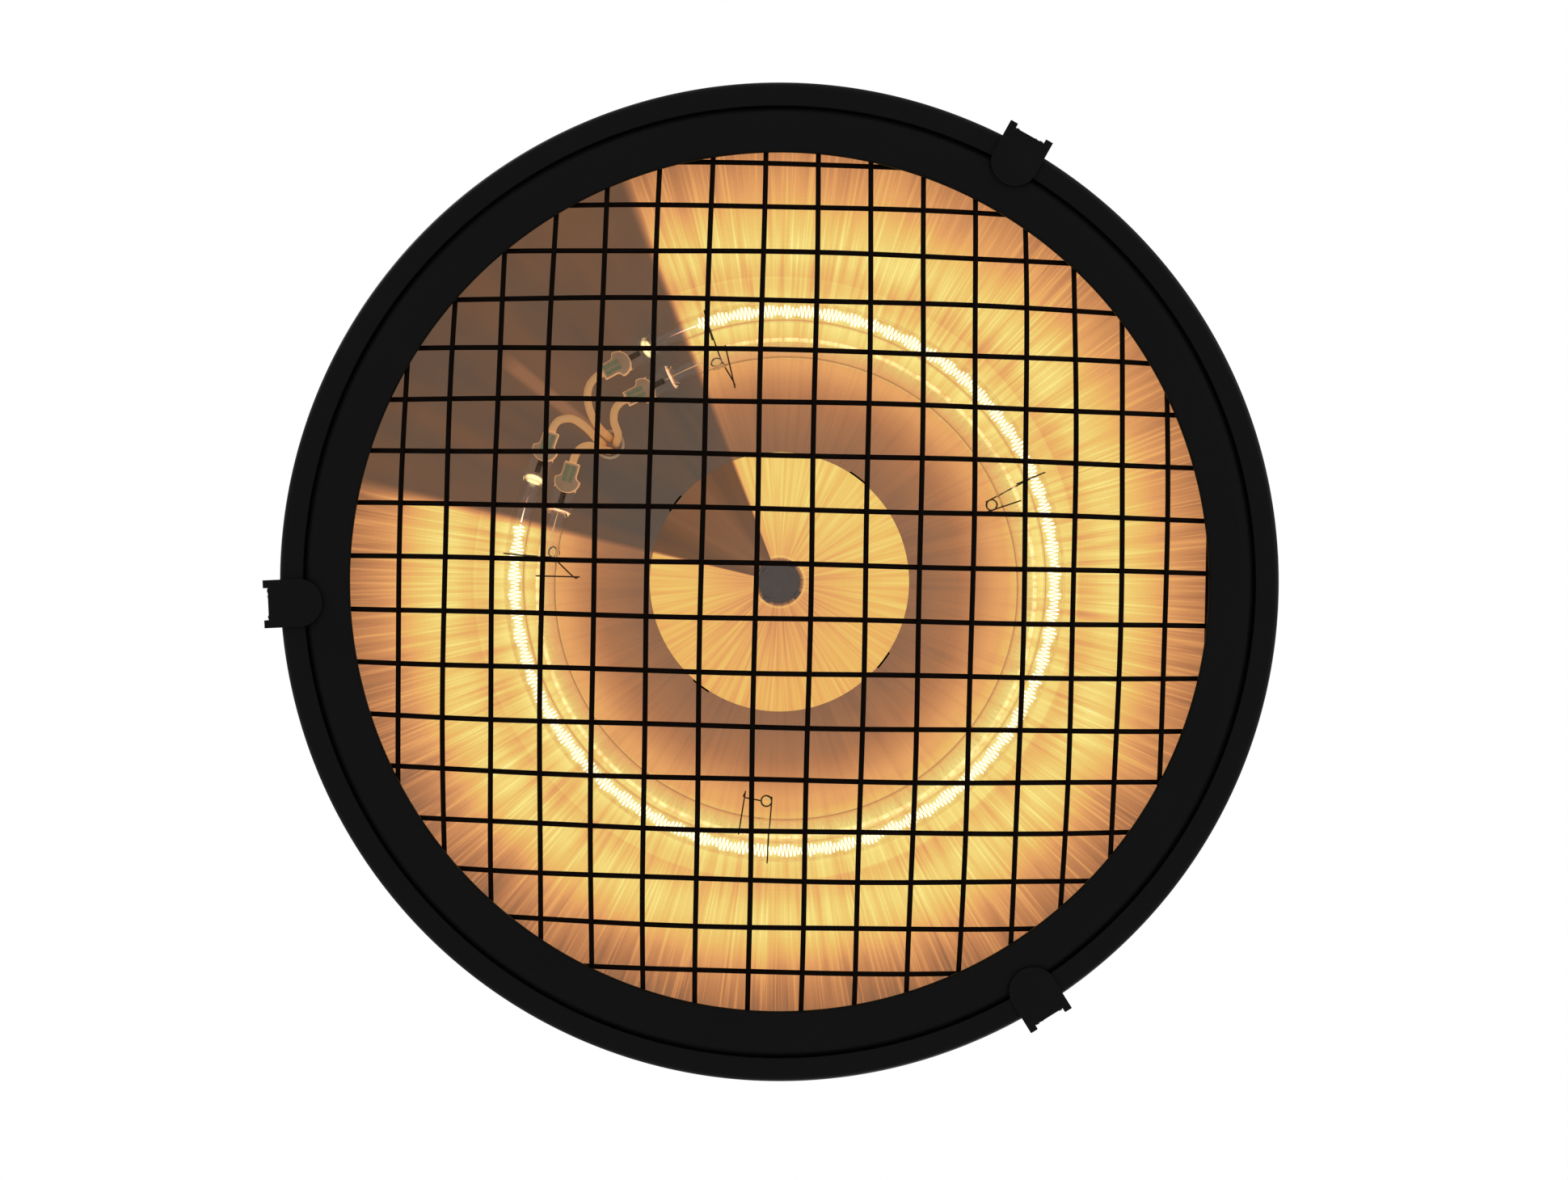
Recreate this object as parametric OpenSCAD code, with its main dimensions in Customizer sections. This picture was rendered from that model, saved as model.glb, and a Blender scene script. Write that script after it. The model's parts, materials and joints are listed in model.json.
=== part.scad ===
// Pendant parabolic infrared heater with two C-shaped quartz lamps.
// Millimetres. +Z is up and the heater faces -Z. The origin is the centre of the
// hanger's ceiling-bolt hole. Heights named *_h are measured upward from the front
// plane of the shade's rim, which lies hang_drop below the origin.

/* [Shade] */
// Outer radius of the rim
rim_r = 225; // [224:0.5:228]
// Rounding of the rim's front edge
rim_round = 3; // [2:0.5:4]
// Height of the straight skirt behind the rim
skirt_h = 24; // [23.6:0.2:26]
// Height of the flat top that carries the terminal can
shade_h = 150; // [149:0.1:150]
// Radius where the parabolic wall meets that flat top
neck_r = 60; // [58.5:0.5:64]
// Radius of the opening in the flat top
neck_hole_r = 50; // [48:0.5:51]
// Thickness of the shade's steel sheet
shade_sheet = 1.2; // [0.9:0.1:1.3]
// Radius of the recess that the guard ring sits in
recess_r = 214.2; // [214.2:0.1:215]
// Inner radius of the recess's shelf
shelf_r = 206; // [204:0.5:208]
// Depth of the recess
shelf_h = 4; // [4:0.1:4.6]

/* [Guard] */
// Radius of the guard ring's opening
opening_r = 193.2; // [191:0.1:195]
// Outer radius of the guard ring
guard_ring_r = 213.7; // [213:0.1:213.7]
// Thickness of the guard ring's sheet
guard_sheet = 1.2; // [1:0.1:1.4]
// Radius of the sphere that the wire dome follows
dome_r = 350; // [345:1:380]
// How far the wire dome stands out below the front plane
dome_depth = 54; // [50:1:54]
// Diameter of the guard wires
wire_d = 2.1; // [1.8:0.1:2.2]
// Distance between wires, along the dome
wire_pitch = 23.9; // [23.5:0.1:24.2]
// Shift of the wires that run along Y, along the dome
wire_shift_x = -10.2; // [-11:0.1:-9]
// Shift of the wires that run along X, along the dome
wire_shift_y = -7.8; // [-9:0.1:-7]
// Turn of the wire mesh in its ring, degrees
mesh_turn = 1.2; // [0:0.1:3]
// Diameter of the wire that borders the mesh behind the ring
border_d = 4; // [3.4:0.1:4]

/* [Reflector] */
// Outer radius of the reflector's flange
reflector_r = 221; // [220.5:0.1:221.5]
// Radius where the curved mirror meets the flange
mirror_r = 216; // [215.9:0.1:216.2]
// Radius of the mirror's crest, where the outer lamp's focus lies
crest_r = 126; // [125:0.5:127]
// Height of the mirror's crest
crest_h = 75; // [74.8:0.1:75.2]
// Focal length of the ring-shaped parabola
focal_length = 30; // [29.8:0.1:30.5]
// Height of the flat floor inside the crest
floor_h = 73; // [72.9:0.1:73.1]
// Thickness of the reflector sheet
mirror_sheet = 1; // [0.8:0.1:1]

/* [Centre reflector] */
// Radius of the cone's base
cone_r = 61; // [56:1:66]
// Radius of the flat apex
apex_r = 11.5; // [11.4:0.1:12.5]
// Height of the flat apex
apex_h = 42; // [42:0.5:46]
// Radius of the dark cap on the apex
cap_r = 9.6; // [9:0.1:9.6]

/* [Lamps] */
// Height of the lamps' centre line
lamp_h = 45; // [44.8:0.1:45.2]
// Diameter of the quartz tubes
tube_d = 10; // [9.6:0.1:10]
// Wall of the quartz tubes
tube_wall = 1; // [0.8:0.1:1.2]
// Ring radius of the outer lamp
outer_lamp_r = 124.8; // [124.6:0.1:125.2]
// Ring radius of the inner lamp
inner_lamp_r = 111.1; // [110.8:0.1:111.4]
// Place of the outer lamp's ring centre, X and Y
outer_lamp_at = [2.4, -0.3]; // [-3:0.1:3]
// Place of the inner lamp's ring centre, X and Y
inner_lamp_at = [3.1, 3.0]; // [-3.5:0.1:3.5]
// Angle that the heating coils span, degrees
coil_span = 301; // [300:0.5:302]
// Direction of the gap between the lamps' ends, degrees
gap_angle = 221.6; // [221:0.1:222]
// Radius of the heating coil's helix
coil_r = 2.3; // [2:0.1:2.6]
// Number of curls drawn in each heating coil
coil_curls = 30; // [20:1:32]

/* [Clips] */
// Directions of the three guard clips, degrees
clip_angles = [58.2, 177.5, 299.3]; // [0:0.1:360]
// Radius of the clips' hinge pins' axes
clip_pin_at = 229.8; // [229.8:0.1:230.4]
// Height of the clips' hinge pins
clip_pin_h = 14; // [14:0.1:14.6]
// Radius of the hinge pins
clip_pin_r = 1.5; // [1.4:0.05:1.5]
// Radius where the jaws end over the guard ring
jaw_tip_r = 205.4; // [204:0.1:207]
// Width of a claw
claw_w = 21.6; // [21:0.1:22.4]

/* [Can and hanger] */
// Outer radius of the terminal can
can_r = 58; // [58:0.1:58.4]
// Height of the can's open top
can_top_h = 222; // [218:1:228]
// Height of the tilt axis
tilt_h = 185; // [183:0.5:187]
// Height of the hanger hole above the front plane
hang_drop = 290; // [284:1:310]
// Width of the hanger strap
strap_w = 30; // [24:1:32]
// Thickness of the hanger strap
strap_t = 4; // [3:0.5:4.5]
// Half of the distance over the hanger's arms
strap_x = 70; // [70:0.1:70.2]
// Radius of the ceiling-bolt hole
hanger_hole_r = 5.25; // [4:0.25:6.5]
// Height of the selector and of the cable gland
service_h = 190; // [188:0.5:192]
// Radius of the cable seal's bore
cable_r = 4.2; // [3.8:0.1:4.3]

/* [Hidden] */
$fn = 96;

black = "#141416";
warm_metal = "#d9c4a0";
steel = "#b8babd";
zinc = "#9fa3a8";
ceramic = "#e8dcc8";
sleeve = "#e9d7b8";

eps = 0.01;            // how far a cutter runs past a face
run_gap = 0.05;        // radial clearance of a turning fit
rest_gap = 0.3;        // clearance between bodies that move past each other

// Lamp ends, measured along the straight tangent from the end of the arc
outer_overrun = [9.9, 8.2];   // degrees of glass arc beyond the coil, first and last end
inner_overrun = [7.5, 4.5];
pinch_start = 4.5;     // where the round tube ends and the pressed glass begins
shoulder_len = 2;
shoulder_w = 12;
blade_w = 10.5;
blade_t = 2.4;
blade_end = 19;
cap_start = 13;
cap_len = 14.5;
cap_flare_r = 6;
cap_body_w = 7;
cap_t = 7;
cap_slot_end = 19.4;

// Lead bushing in the reflector floor, and the hole in the can's base
bushing_angle = 219;
bushing_at = 102.5;
bushing_bore = 5.6;
bushing_r = 7;
bushing_flange_r = 8.4;
bushing = bushing_at * [cos(bushing_angle), sin(bushing_angle)];
base_hole = [-31, -25];
base_hole_r = 9;
lead_d = 4.2;

// The four leads cross the bushing side by side
lead_offset = 3.04;
lead_turns = [267, 357, 177, 87];
// Route of each lead from its lamp's cap to the bushing: x, y, height
lead_fronts = [
    [[-84.8, -94.6, 45.4], [-87.8, -91, 46.6], [-89, -85.5, 49.5], [-87.5, -78, 54],
        [-84, -71.8, 60], [-80.5, -68.4, 66]],
    [[-73.8, -82.6, 45.5], [-76.2, -79.4, 47.5], [-76.8, -74.4, 52], [-75.2, -69, 58.5],
        [-76, -65.8, 65]],
    [[-104.1, -72.3, 45.3], [-101.2, -75, 46.8], [-95.6, -75.4, 50], [-90, -71.8, 55],
        [-85.8, -67.2, 61], [-83.2, -64.8, 66]],
    [[-94.2, -58.8, 45.3], [-91.8, -62, 47.2], [-87.8, -63.2, 51.5], [-83, -61.6, 58.5],
        [-79.9, -61.3, 66]]
];
// Route of the bundle above the reflector: x, y, height, spread of the four leads
lead_trunk = [
    [-79.66, -64.51, 72, 1], [-79.66, -64.51, 78, 1], [-79.4, -64.3, 84, 1.35],
    [-75.5, -61, 92, 1.65], [-66, -53.5, 103, 1.7], [-50, -40.5, 119, 1.7],
    [-38.5, -31.1, 131, 1.7], [-33, -26.6, 139.5, 1.45], [-31, -25, 148, 1]
];
// Route of each lead inside the can, to its terminal
lead_tails = [
    [[-31.2, -28.1, 153.6], [-27, -31, 157.2], [2, -31, 158], [12, -26, 158],
        [16.5, -17, 158], [16.5, -9.4, 158]],
    [[-28, -25.2, 153.6], [-23, -26, 157.2], [-4, -24.5, 158], [3.6, -18.5, 158],
        [5.5, -9.6, 158]],
    [[-34, -24.8, 153.6], [-35.8, -21.6, 156.8], [-33.4, -17, 158], [-26, -15.2, 158],
        [-20.2, -14.9, 158], [-17.7, -13.1, 158], [-17.5, -9.6, 158]],
    [[-30.9, -21.8, 153.6], [-26.8, -19.9, 157.4], [-12, -18.5, 158], [-6.8, -14.5, 158],
        [-5.5, -9.7, 158]]
];

// Terminal block on the can's base: size, and the terminals' X places
block = [44, 18, 13.4];
terminal_xs = [-16.5, -5.5, 5.5, 16.5];

// Lamp support springs
support_angles = [254, 340.1, 93.4, 187.5];
post_at = [105.5, 104.9, 102, 105.6];
outer_hook_turn = [0.5, -2.5, -0.9, -1.6];   // degrees from the post to the hook
inner_hook_turn = [3.1, 1.3, 5.8, -6.1];
hook_reach = 15.5;            // how far inside the inner tube's centre line its hook bends
post_r = 2;
post_bore = 1.1;
post_tip_h = 51.4;
spring_wire = 0.7;
spring_clear = 0.3;

// Clips
jaw_top_h = -0.4;
jaw_t = 1.8;
claw_t = 1.6;
flange_t = 3.6;
claw_eye_r = 3.1;
horn = 2.1;                    // how far a claw's flanges reach past its pin's axis in front
lug_h = [10.6, 23.4];
lug_t = 1.4;
ear_at = 5.2;
ear_t = 1.6;
ear_eye_r = 2.6;
rivet_r = 1.6;
rivet_seat = 0.12;             // how far a flat head stands off the curved skirt
lug_rivet = [4.6, 20.8];      // sideways place and height
clip_coil_r = 2;
clip_coil_wire = 0.7;
clip_coil_pitch = 1.2;
clip_coil_turns = 5;

// Reflector brackets stand midway between the clips
bracket_angles = [for (a = clip_angles) a + 60];
bracket_w = 14;
bracket_t = 1.2;
bracket_h = [8.6, 21];
bracket_rivet_r = 218.9;
bracket_rivet_h = 15.5;

// Directions of the cone's and the cap's four tabs, and inner radius, thickness and width of the cone's
tab_angles = [37 : 90 : 307];
cone_tab_at = 60;
cone_tab_t = 0.8;
cone_tab_w = 8;

// Terminal can
base_h = shade_h + 1;
can_wall = 1.5;
boss_in = 54;
boss_out = 60;
neck_rivet_at = 53.3;
spacer_at = 43;
spacer_angles = [95, 335, 159];
lid_gap = 0.4;
lid_sheet = 1.2;
lid_skirt = 9;
lid_screw_h = can_top_h - 3.5;
service_y = 59.5;
pivot_r = 3;
knob_face = strap_x + rest_gap;

// ---------- shared geometry ----------

function unit(v) = v / norm(v);
function turned(a, r) = [r * cos(a), r * sin(a)];
function left_of(d) = [-d.y, d.x];

// Direction of the offset at point i of a path, lengthened so that walls keep their thickness
function miter(path, i) =
    let (last = len(path) - 1,
         before = unit(path[max(i, 1)] - path[max(i, 1) - 1]),
         after = unit(path[min(i, last - 1) + 1] - path[min(i, last - 1)]),
         mean = unit(left_of(before) + left_of(after)))
    mean / (mean * left_of(after));

// Closed outline of a sheet that lies on the left of a path
function sheet(path, t) = concat(
    path,
    [for (i = [len(path) - 1 : -1 : 0]) path[i] + t * miter(path, i)]
);

function arc(centre, r, a0, a1, steps) =
    [for (k = [0 : steps]) centre + turned(a0 + (a1 - a0) * k / steps, r)];

// Moves a thing drawn by height above the front plane into the part's frame
module in_place() translate([0, 0, -hang_drop]) children();

// Cylinder whose axis runs outward along a direction, from radius r0 to r1, at a height
module radial_rod(angle, h, r, r0, r1, y = 0) {
    rotate([0, 0, angle]) translate([r0, y, h]) rotate([0, 90, 0]) cylinder(h = r1 - r0, r = r);
}

// Flat-headed rivet with equal heads over a grip from z = 0 to z = grip
module rivet(grip, r, head_r, head_t) {
    cylinder(h = grip, r = r, $fn = 32);
    translate([0, 0, -head_t]) cylinder(h = head_t, r = head_r, $fn = 32);
    translate([0, 0, grip]) cylinder(h = head_t, r = head_r, $fn = 32);
}

module hex_nut(across_corners, t, bore) {
    difference() {
        cylinder(h = t, r = across_corners / 2, $fn = 6);
        translate([0, 0, -eps]) cylinder(h = t + 2 * eps, r = bore);
    }
}

// ---------- swept wires ----------

// Sideways direction carried along a path of tangents without twisting
function carried(t) = [
    for (i = 0, u = unit(cross(t[0], abs(t[0].z) < 0.8 ? [0, 0, 1] : [1, 0, 0]));
         i < len(t);
         i = i + 1, u = i < len(t) ? unit(u - (u * t[i]) * t[i]) : u)
    u
];

function tangents(p) =
    [for (i = [0 : len(p) - 1]) unit(p[min(i + 1, len(p) - 1)] - p[max(i - 1, 0)])];

// Tube of a given radius along a path, as triangles
module wire(path, r, sides) {
    t = tangents(path);
    u = carried(t);
    n = len(path);
    rings = [for (i = [0 : n - 1], k = [0 : sides - 1])
        let (a = 360 * k / sides, v = cross(t[i], u[i]))
        path[i] + r * (cos(a) * u[i] + sin(a) * v)];
    walls = [for (i = [0 : n - 2], k = [0 : sides - 1], half = [0, 1])
        let (a = i * sides + k, b = i * sides + (k + 1) % sides)
        half == 0 ? [a, a + sides, b] : [b, a + sides, b + sides]];
    caps = [for (k = [1 : sides - 2], end = [0, 1])
        let (c = (n - 1) * sides)
        end == 0 ? [0, k, k + 1] : [c, c + k + 1, c + k]];
    polyhedron(points = rings, faces = concat(walls, caps), convexity = 8);
}

// Least distance between points of a coil that are more than half a turn apart
function least_gap(path, per_turn, wire_d) = min([
    for (i = [0 : len(path) - 1 - per_turn], j = [i + per_turn / 2 + 1 : min(i + 2 * per_turn, len(path) - 1)])
    norm(path[i] - path[j])
]) - wire_d;

// ---------- hanger and tilt joint ----------

module hanger() {
    bend = 10;
    outer = concat(
        [[strap_x, tilt_h]],
        arc([strap_x - bend, hang_drop + strap_t / 2 - bend], bend, 0, 90, 8),
        arc([bend - strap_x, hang_drop + strap_t / 2 - bend], bend, 90, 180, 8),
        [[-strap_x, tilt_h]]
    );
    color(black) in_place() difference() {
        union() {
            rotate([90, 0, 0]) linear_extrude(strap_w, center = true) polygon(sheet(outer, strap_t));
            for (side = [0, 180]) radial_rod(side, tilt_h, strap_w / 2, strap_x - strap_t, strap_x);
        }
        for (side = [0, 180])
            radial_rod(side, tilt_h, pivot_r + run_gap, strap_x - strap_t - eps, strap_x + eps);
        translate([0, 0, hang_drop - strap_t]) cylinder(h = 2 * strap_t, r = hanger_hole_r);
    }
}

// Threaded clamp knob with six finger scallops, on the side that an angle names
module clamp_knob(side) {
    grip_r = 16;
    grip = [knob_face + 5, knob_face + 18];
    color(black) in_place() difference() {
        union() {
            radial_rod(side, tilt_h, 9, knob_face, grip[0]);
            difference() {
                radial_rod(side, tilt_h, grip_r, grip[0], grip[1]);
                for (k = [0 : 5])
                    translate([0, 0, tilt_h]) rotate([60 * k, 0, 0]) translate([0, 0, -tilt_h])
                        radial_rod(side, tilt_h + grip_r + 3, 6, grip[0] - eps, grip[1] + eps);
            }
        }
        radial_rod(side, tilt_h, pivot_r + run_gap, knob_face - eps, knob_face + 15);
    }
}

module clamp_knob_left() { clamp_knob(180); }
module clamp_knob_right() { clamp_knob(0); }

module pivot_bolts() {
    color(zinc) in_place() for (side = [0, 180]) {
        radial_rod(side, tilt_h, pivot_r, boss_in, knob_face + 13);
        rotate([0, 0, side]) translate([boss_in - 4, 0, tilt_h]) rotate([0, 90, 0])
            cylinder(h = 4, r = 5.7, $fn = 6);
    }
}

module pivot_washers() {
    color(steel) in_place() for (side = [0, 180]) difference() {
        radial_rod(side, tilt_h, 9, boss_out, strap_x - strap_t - rest_gap);
        radial_rod(side, tilt_h, pivot_r + run_gap, boss_out - eps, strap_x);
    }
}

// ---------- terminal can ----------

// Round hole or rod along Y at the height of the gland and the selector
module service_rod(side, r, y0, y1, sides = 96) {
    translate([0, side * y0, service_h]) rotate([-90 * side, 0, 0])
        cylinder(h = y1 - y0, r = r, $fn = sides);
}

module can() {
    slot_h = [206, 213];
    color(black) in_place() difference() {
        union() {
            rotate_extrude() polygon(sheet([[0, base_h], [can_r, base_h], [can_r, can_top_h]], can_wall));
            for (side = [0, 180]) radial_rod(side, tilt_h, 10, boss_in, boss_out);
            service_rod(1, 13, boss_in, service_y);
            service_rod(-1, 12, boss_in, service_y);
        }
        for (side = [0, 180]) radial_rod(side, tilt_h, pivot_r + run_gap, boss_in - eps, boss_out + eps);
        service_rod(1, 8.1, boss_in - eps, service_y + eps);
        service_rod(-1, 5, boss_in - eps, service_y + eps);
        translate([base_hole.x, base_hole.y, base_h - eps]) cylinder(h = 3, r = base_hole_r);
        neck_rivet_holes();
        for (a = spacer_angles) translate(concat(turned(a, spacer_at), base_h - eps))
            cylinder(h = 3, r = 1.6);
        for (a = [45 : 90 : 315]) radial_rod(a, lid_screw_h, 1.55, can_r - 4, can_r + 4);
        for (a = [25, 45, 65, 115, 135, 155, 205, 225, 245, 295, 315, 335])
            rotate([0, 0, a]) translate([can_r - 5, -5, slot_h[0] - 8])
                cube([10, 10, slot_h[1] - slot_h[0] - 4]);
    }
}

module can_lid() {
    top_h = can_top_h + 0.8 + lid_sheet;
    lid_r = can_r + lid_gap + lid_sheet;
    edge = concat(
        [[lid_r, top_h - lid_skirt]],
        arc([lid_r - 2.5, top_h - 2.5], 2.5, 0, 90, 6),
        [[0, top_h]]
    );
    color(black) in_place() difference() {
        rotate_extrude() polygon(sheet(edge, lid_sheet));
        for (a = [45 : 90 : 315]) radial_rod(a, lid_screw_h, 1.6, can_r - 4, can_r + 4);
    }
}

module lid_screws() {
    head_at = can_r + lid_gap + lid_sheet;
    color(zinc) in_place() for (a = [45 : 90 : 315]) {
        radial_rod(a, lid_screw_h, 1.5, can_r - 4, head_at);
        difference() {
            radial_rod(a, lid_screw_h, 2.9, head_at, head_at + 2);
            rotate([0, 0, a]) translate([head_at + 1.2, -0.4, lid_screw_h - 3]) cube([2, 0.8, 6]);
        }
    }
}

module neck_rivet_holes() {
    for (a = [45 : 90 : 315]) translate(concat(turned(a, neck_rivet_at), shade_h - 4))
        cylinder(h = 8, r = 2.05);
}

module can_gasket() {
    color("#c9c2b4") in_place() difference() {
        translate([0, 0, shade_h]) cylinder(h = base_h - shade_h, r = can_r - 0.5);
        translate([0, 0, shade_h - eps]) cylinder(h = 2, r = neck_hole_r);
        neck_rivet_holes();
    }
}

module can_rivets() {
    grip = shade_sheet + base_h - shade_h + can_wall;
    color(zinc) in_place() for (a = [45 : 90 : 315])
        translate(concat(turned(a, neck_rivet_at), shade_h - shade_sheet)) rivet(grip, 2, 3, 1.2);
}

// ---------- cable gland, on the +Y side ----------

gland_thread_r = 8;
gland_hex_end = service_y + 5;
gland_body_end = service_y + 12;
seal_y = [service_y + 9, service_y + 17];

module gland_body() {
    color(black) in_place() difference() {
        union() {
            service_rod(1, gland_thread_r, boss_in - 8, gland_body_end);
            service_rod(1, 11, service_y, gland_hex_end, 6);
        }
        service_rod(1, cable_r + 1, boss_in - 9, gland_body_end + 1);
        service_rod(1, 6.6, seal_y[0], gland_body_end + 1);
    }
}

module gland_locknut() {
    color(black) in_place() translate([0, boss_in, service_h]) rotate([90, 0, 0])
        hex_nut(23, 5, gland_thread_r + run_gap);
}

module gland_seal() {
    color("#2a2a2a") in_place() difference() {
        service_rod(1, 6.5, seal_y[0] + 0.1, seal_y[1]);
        service_rod(1, cable_r, seal_y[0] - 1, seal_y[1] + 1);
    }
}

module gland_nut() {
    color(black) in_place() difference() {
        union() {
            service_rod(1, 10.5, gland_hex_end + 0.2, seal_y[1] - 2, 10);
            service_rod(1, 9.4, seal_y[1] - 2 - eps, seal_y[1] + 2);
        }
        service_rod(1, gland_thread_r + run_gap, gland_hex_end, gland_body_end + 0.2);
        service_rod(1, 6.6, gland_body_end, seal_y[1] + 0.1);
        service_rod(1, cable_r + 1, seal_y[1], seal_y[1] + 3);
    }
}

// ---------- selector, on the -Y side ----------

module selector_switch() {
    color("#d8d4c8") in_place() difference() {
        union() {
            translate([-13, -boss_in + 0.1, service_h - 13]) cube([26, 22, 26]);
            service_rod(-1, 4.9, boss_in - 2, service_y + 2.3);
            for (x = [-8, 0, 8]) translate([x - 2, -boss_in + 22, service_h - 4]) cube([4, 6, 0.8]);
        }
        service_rod(-1, 3 + run_gap, boss_in - 12, service_y + 3);
    }
}

module selector_nut() {
    color(zinc) in_place() translate([0, -service_y, service_h]) rotate([90, 0, 0])
        hex_nut(14, 2.2, 4.95);
}

module selector_shaft() {
    color(steel) in_place() service_rod(-1, 3, boss_in - 11.9, service_y + 14);
}

module selector_knob() {
    knob = [service_y + 3, service_y + 16.5];
    color(black) in_place() difference() {
        union() {
            service_rod(-1, 15, knob[0], knob[0] + 4);
            service_rod(-1, 12, knob[0] + 3, knob[1]);
            translate([-3, -knob[1] - 3, service_h - 12]) cube([6, 8, 24]);
        }
        service_rod(-1, 3, knob[0] - 1, service_y + 14);
        translate([-0.8, -knob[1] - 3 - eps, service_h + 5]) cube([1.6, 1, 6]);
    }
}

// ---------- electrical pieces inside the can ----------

module terminal_block() {
    base = base_h + can_wall;
    color(ceramic) in_place() difference() {
        translate([-block.x / 2, -block.y / 2, base]) cube(block);
        for (x = terminal_xs) {
            translate([x, 0, base + 4]) cylinder(h = block.z, r = 2.6, $fn = 32);
            translate([x, block.y / 2 + eps, base + 5.5]) rotate([90, 0, 0])
                cylinder(h = 6, r = 2.4, $fn = 32);
        }
        for (x = [-11, 11]) translate([x, 0, base + 8]) cube([1.6, block.y + 1, 12], center = true);
    }
}

module terminal_screws() {
    color("#c8a24a") in_place() for (x = terminal_xs)
        translate([x, 0, base_h + can_wall + 4]) difference() {
            cylinder(h = 7, r = 2.5, $fn = 32);
            translate([-3, -0.4, 6]) cube([6, 0.8, 2]);
        }
}

module thermal_cutout() {
    color("#3a3430") in_place() translate([30, -24, base_h + can_wall]) {
        cylinder(h = 5, r = 8);
        translate([-11, -3, 0]) cube([22, 6, 1]);
        for (x = [-5, 5]) translate([x - 1.6, -0.4, 5 - eps]) cube([3.2, 0.8, 7]);
    }
}

module lead_grommet() {
    color("#5a4a42") in_place() translate([base_hole.x, base_hole.y, base_h]) difference() {
        union() {
            cylinder(h = can_wall, r = base_hole_r - run_gap);
            translate([0, 0, -1.6]) cylinder(h = 1.6, r = base_hole_r + 1.2);
            translate([0, 0, can_wall]) cylinder(h = 1.2, r = base_hole_r + 1.2);
        }
        translate([0, 0, -3]) cylinder(h = 8, r = 6.8);
    }
}

// ---------- shade ----------

parabola_k = (pow(rim_r, 2) - pow(neck_r, 2)) / (shade_h - skirt_h);
function shade_at(r) = [r, shade_h - (pow(r, 2) - pow(neck_r, 2)) / parabola_k];
shade_steps = 22;

shade_path = concat(
    [[shelf_r, shelf_h], [recess_r, shelf_h], [recess_r, 0]],
    arc([rim_r - rim_round, rim_round], rim_round, -90, 0, 6),
    [for (k = [0 : shade_steps]) shade_at(rim_r + (neck_r - rim_r) * k / shade_steps)],
    [[neck_hole_r, shade_h]]
);

module shade() {
    color(black) in_place() difference() {
        rotate_extrude($fn = 180) polygon(sheet(shade_path, shade_sheet));
        neck_rivet_holes();
        for (a = clip_angles, side = [-1, 1])
            radial_rod(a, lug_rivet[1], rivet_r + run_gap, rim_r - 4, rim_r + 2, side * lug_rivet[0]);
        for (a = bracket_angles) radial_rod(a, bracket_rivet_h, rivet_r + run_gap, rim_r - 4, rim_r + 2);
    }
}

module heat_shield() {
    shield_h = 139;
    color(warm_metal) in_place() difference() {
        translate([0, 0, shield_h]) cylinder(h = 1, r = 47);
        translate([-33, -26.6, shield_h - 1]) cylinder(h = 3, r = 9);
        for (a = spacer_angles) translate(concat(turned(a, spacer_at), shield_h - 1)) cylinder(h = 3, r = 1.6);
    }
}

// Spacer tubes with their screws, between the heat shield and the can's base
module shield_spacers() {
    color(zinc) in_place() for (a = spacer_angles) translate(concat(turned(a, spacer_at), 140)) {
        cylinder(h = base_h - 140, r = 3, $fn = 32);
        translate([0, 0, -3]) cylinder(h = 4, r = 1.5, $fn = 32);
        translate([0, 0, -3]) cylinder(h = 2, r = 2.8, $fn = 32);
        translate([0, 0, base_h - 141]) cylinder(h = 4.5, r = 1.5, $fn = 32);
    }
}

// ---------- reflector ----------

mirror_inner_r = crest_r - sqrt(4 * focal_length * (crest_h - floor_h));
function mirror_at(r) = [r, crest_h - pow(r - crest_r, 2) / (4 * focal_length)];
mirror_steps = 26;

mirror_path = concat(
    [[2.8, floor_h]],
    [for (k = [0 : mirror_steps]) mirror_at(mirror_inner_r + (mirror_r - mirror_inner_r) * k / mirror_steps)],
    [[reflector_r, mirror_at(mirror_r).y]]
);

module reflector() {
    color(warm_metal) in_place() difference() {
        rotate_extrude($fn = 180) polygon(sheet(mirror_path, mirror_sheet));
        translate([bushing.x, bushing.y, floor_h - 2]) cylinder(h = 6, r = bushing_r + run_gap);
        for (i = [0 : 3]) translate(concat(turned(support_angles[i], post_at[i]), floor_h - 2))
            cylinder(h = 6, r = post_bore, $fn = 32);
        for (a = bracket_angles) translate(concat(turned(a, bracket_rivet_r), 0))
            cylinder(h = 15, r = rivet_r + run_gap, $fn = 32);
        for (a = tab_angles) rotate([0, 0, a]) translate([cone_tab_at - 0.2, -cone_tab_w / 2 - 0.5, floor_h - 1])
            cube([cone_tab_t + 0.9, cone_tab_w + 1, 4]);
    }
}

module reflector_brackets() {
    skirt_in = rim_r - shade_sheet - 0.1;
    span = bracket_w / rim_r * 180 / PI;
    profile = [[mirror_r + 1, bracket_h[0]], [skirt_in, bracket_h[0]], [skirt_in, bracket_h[1]]];
    color(zinc) in_place() for (a = bracket_angles) difference() {
        rotate([0, 0, a - span / 2]) rotate_extrude(angle = span, $fn = 180)
            polygon(sheet(profile, bracket_t));
        translate(concat(turned(a, bracket_rivet_r), 0)) cylinder(h = 15, r = rivet_r + run_gap, $fn = 32);
        radial_rod(a, bracket_rivet_h, rivet_r + run_gap, rim_r - 5, rim_r + 2);
    }
}

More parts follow.
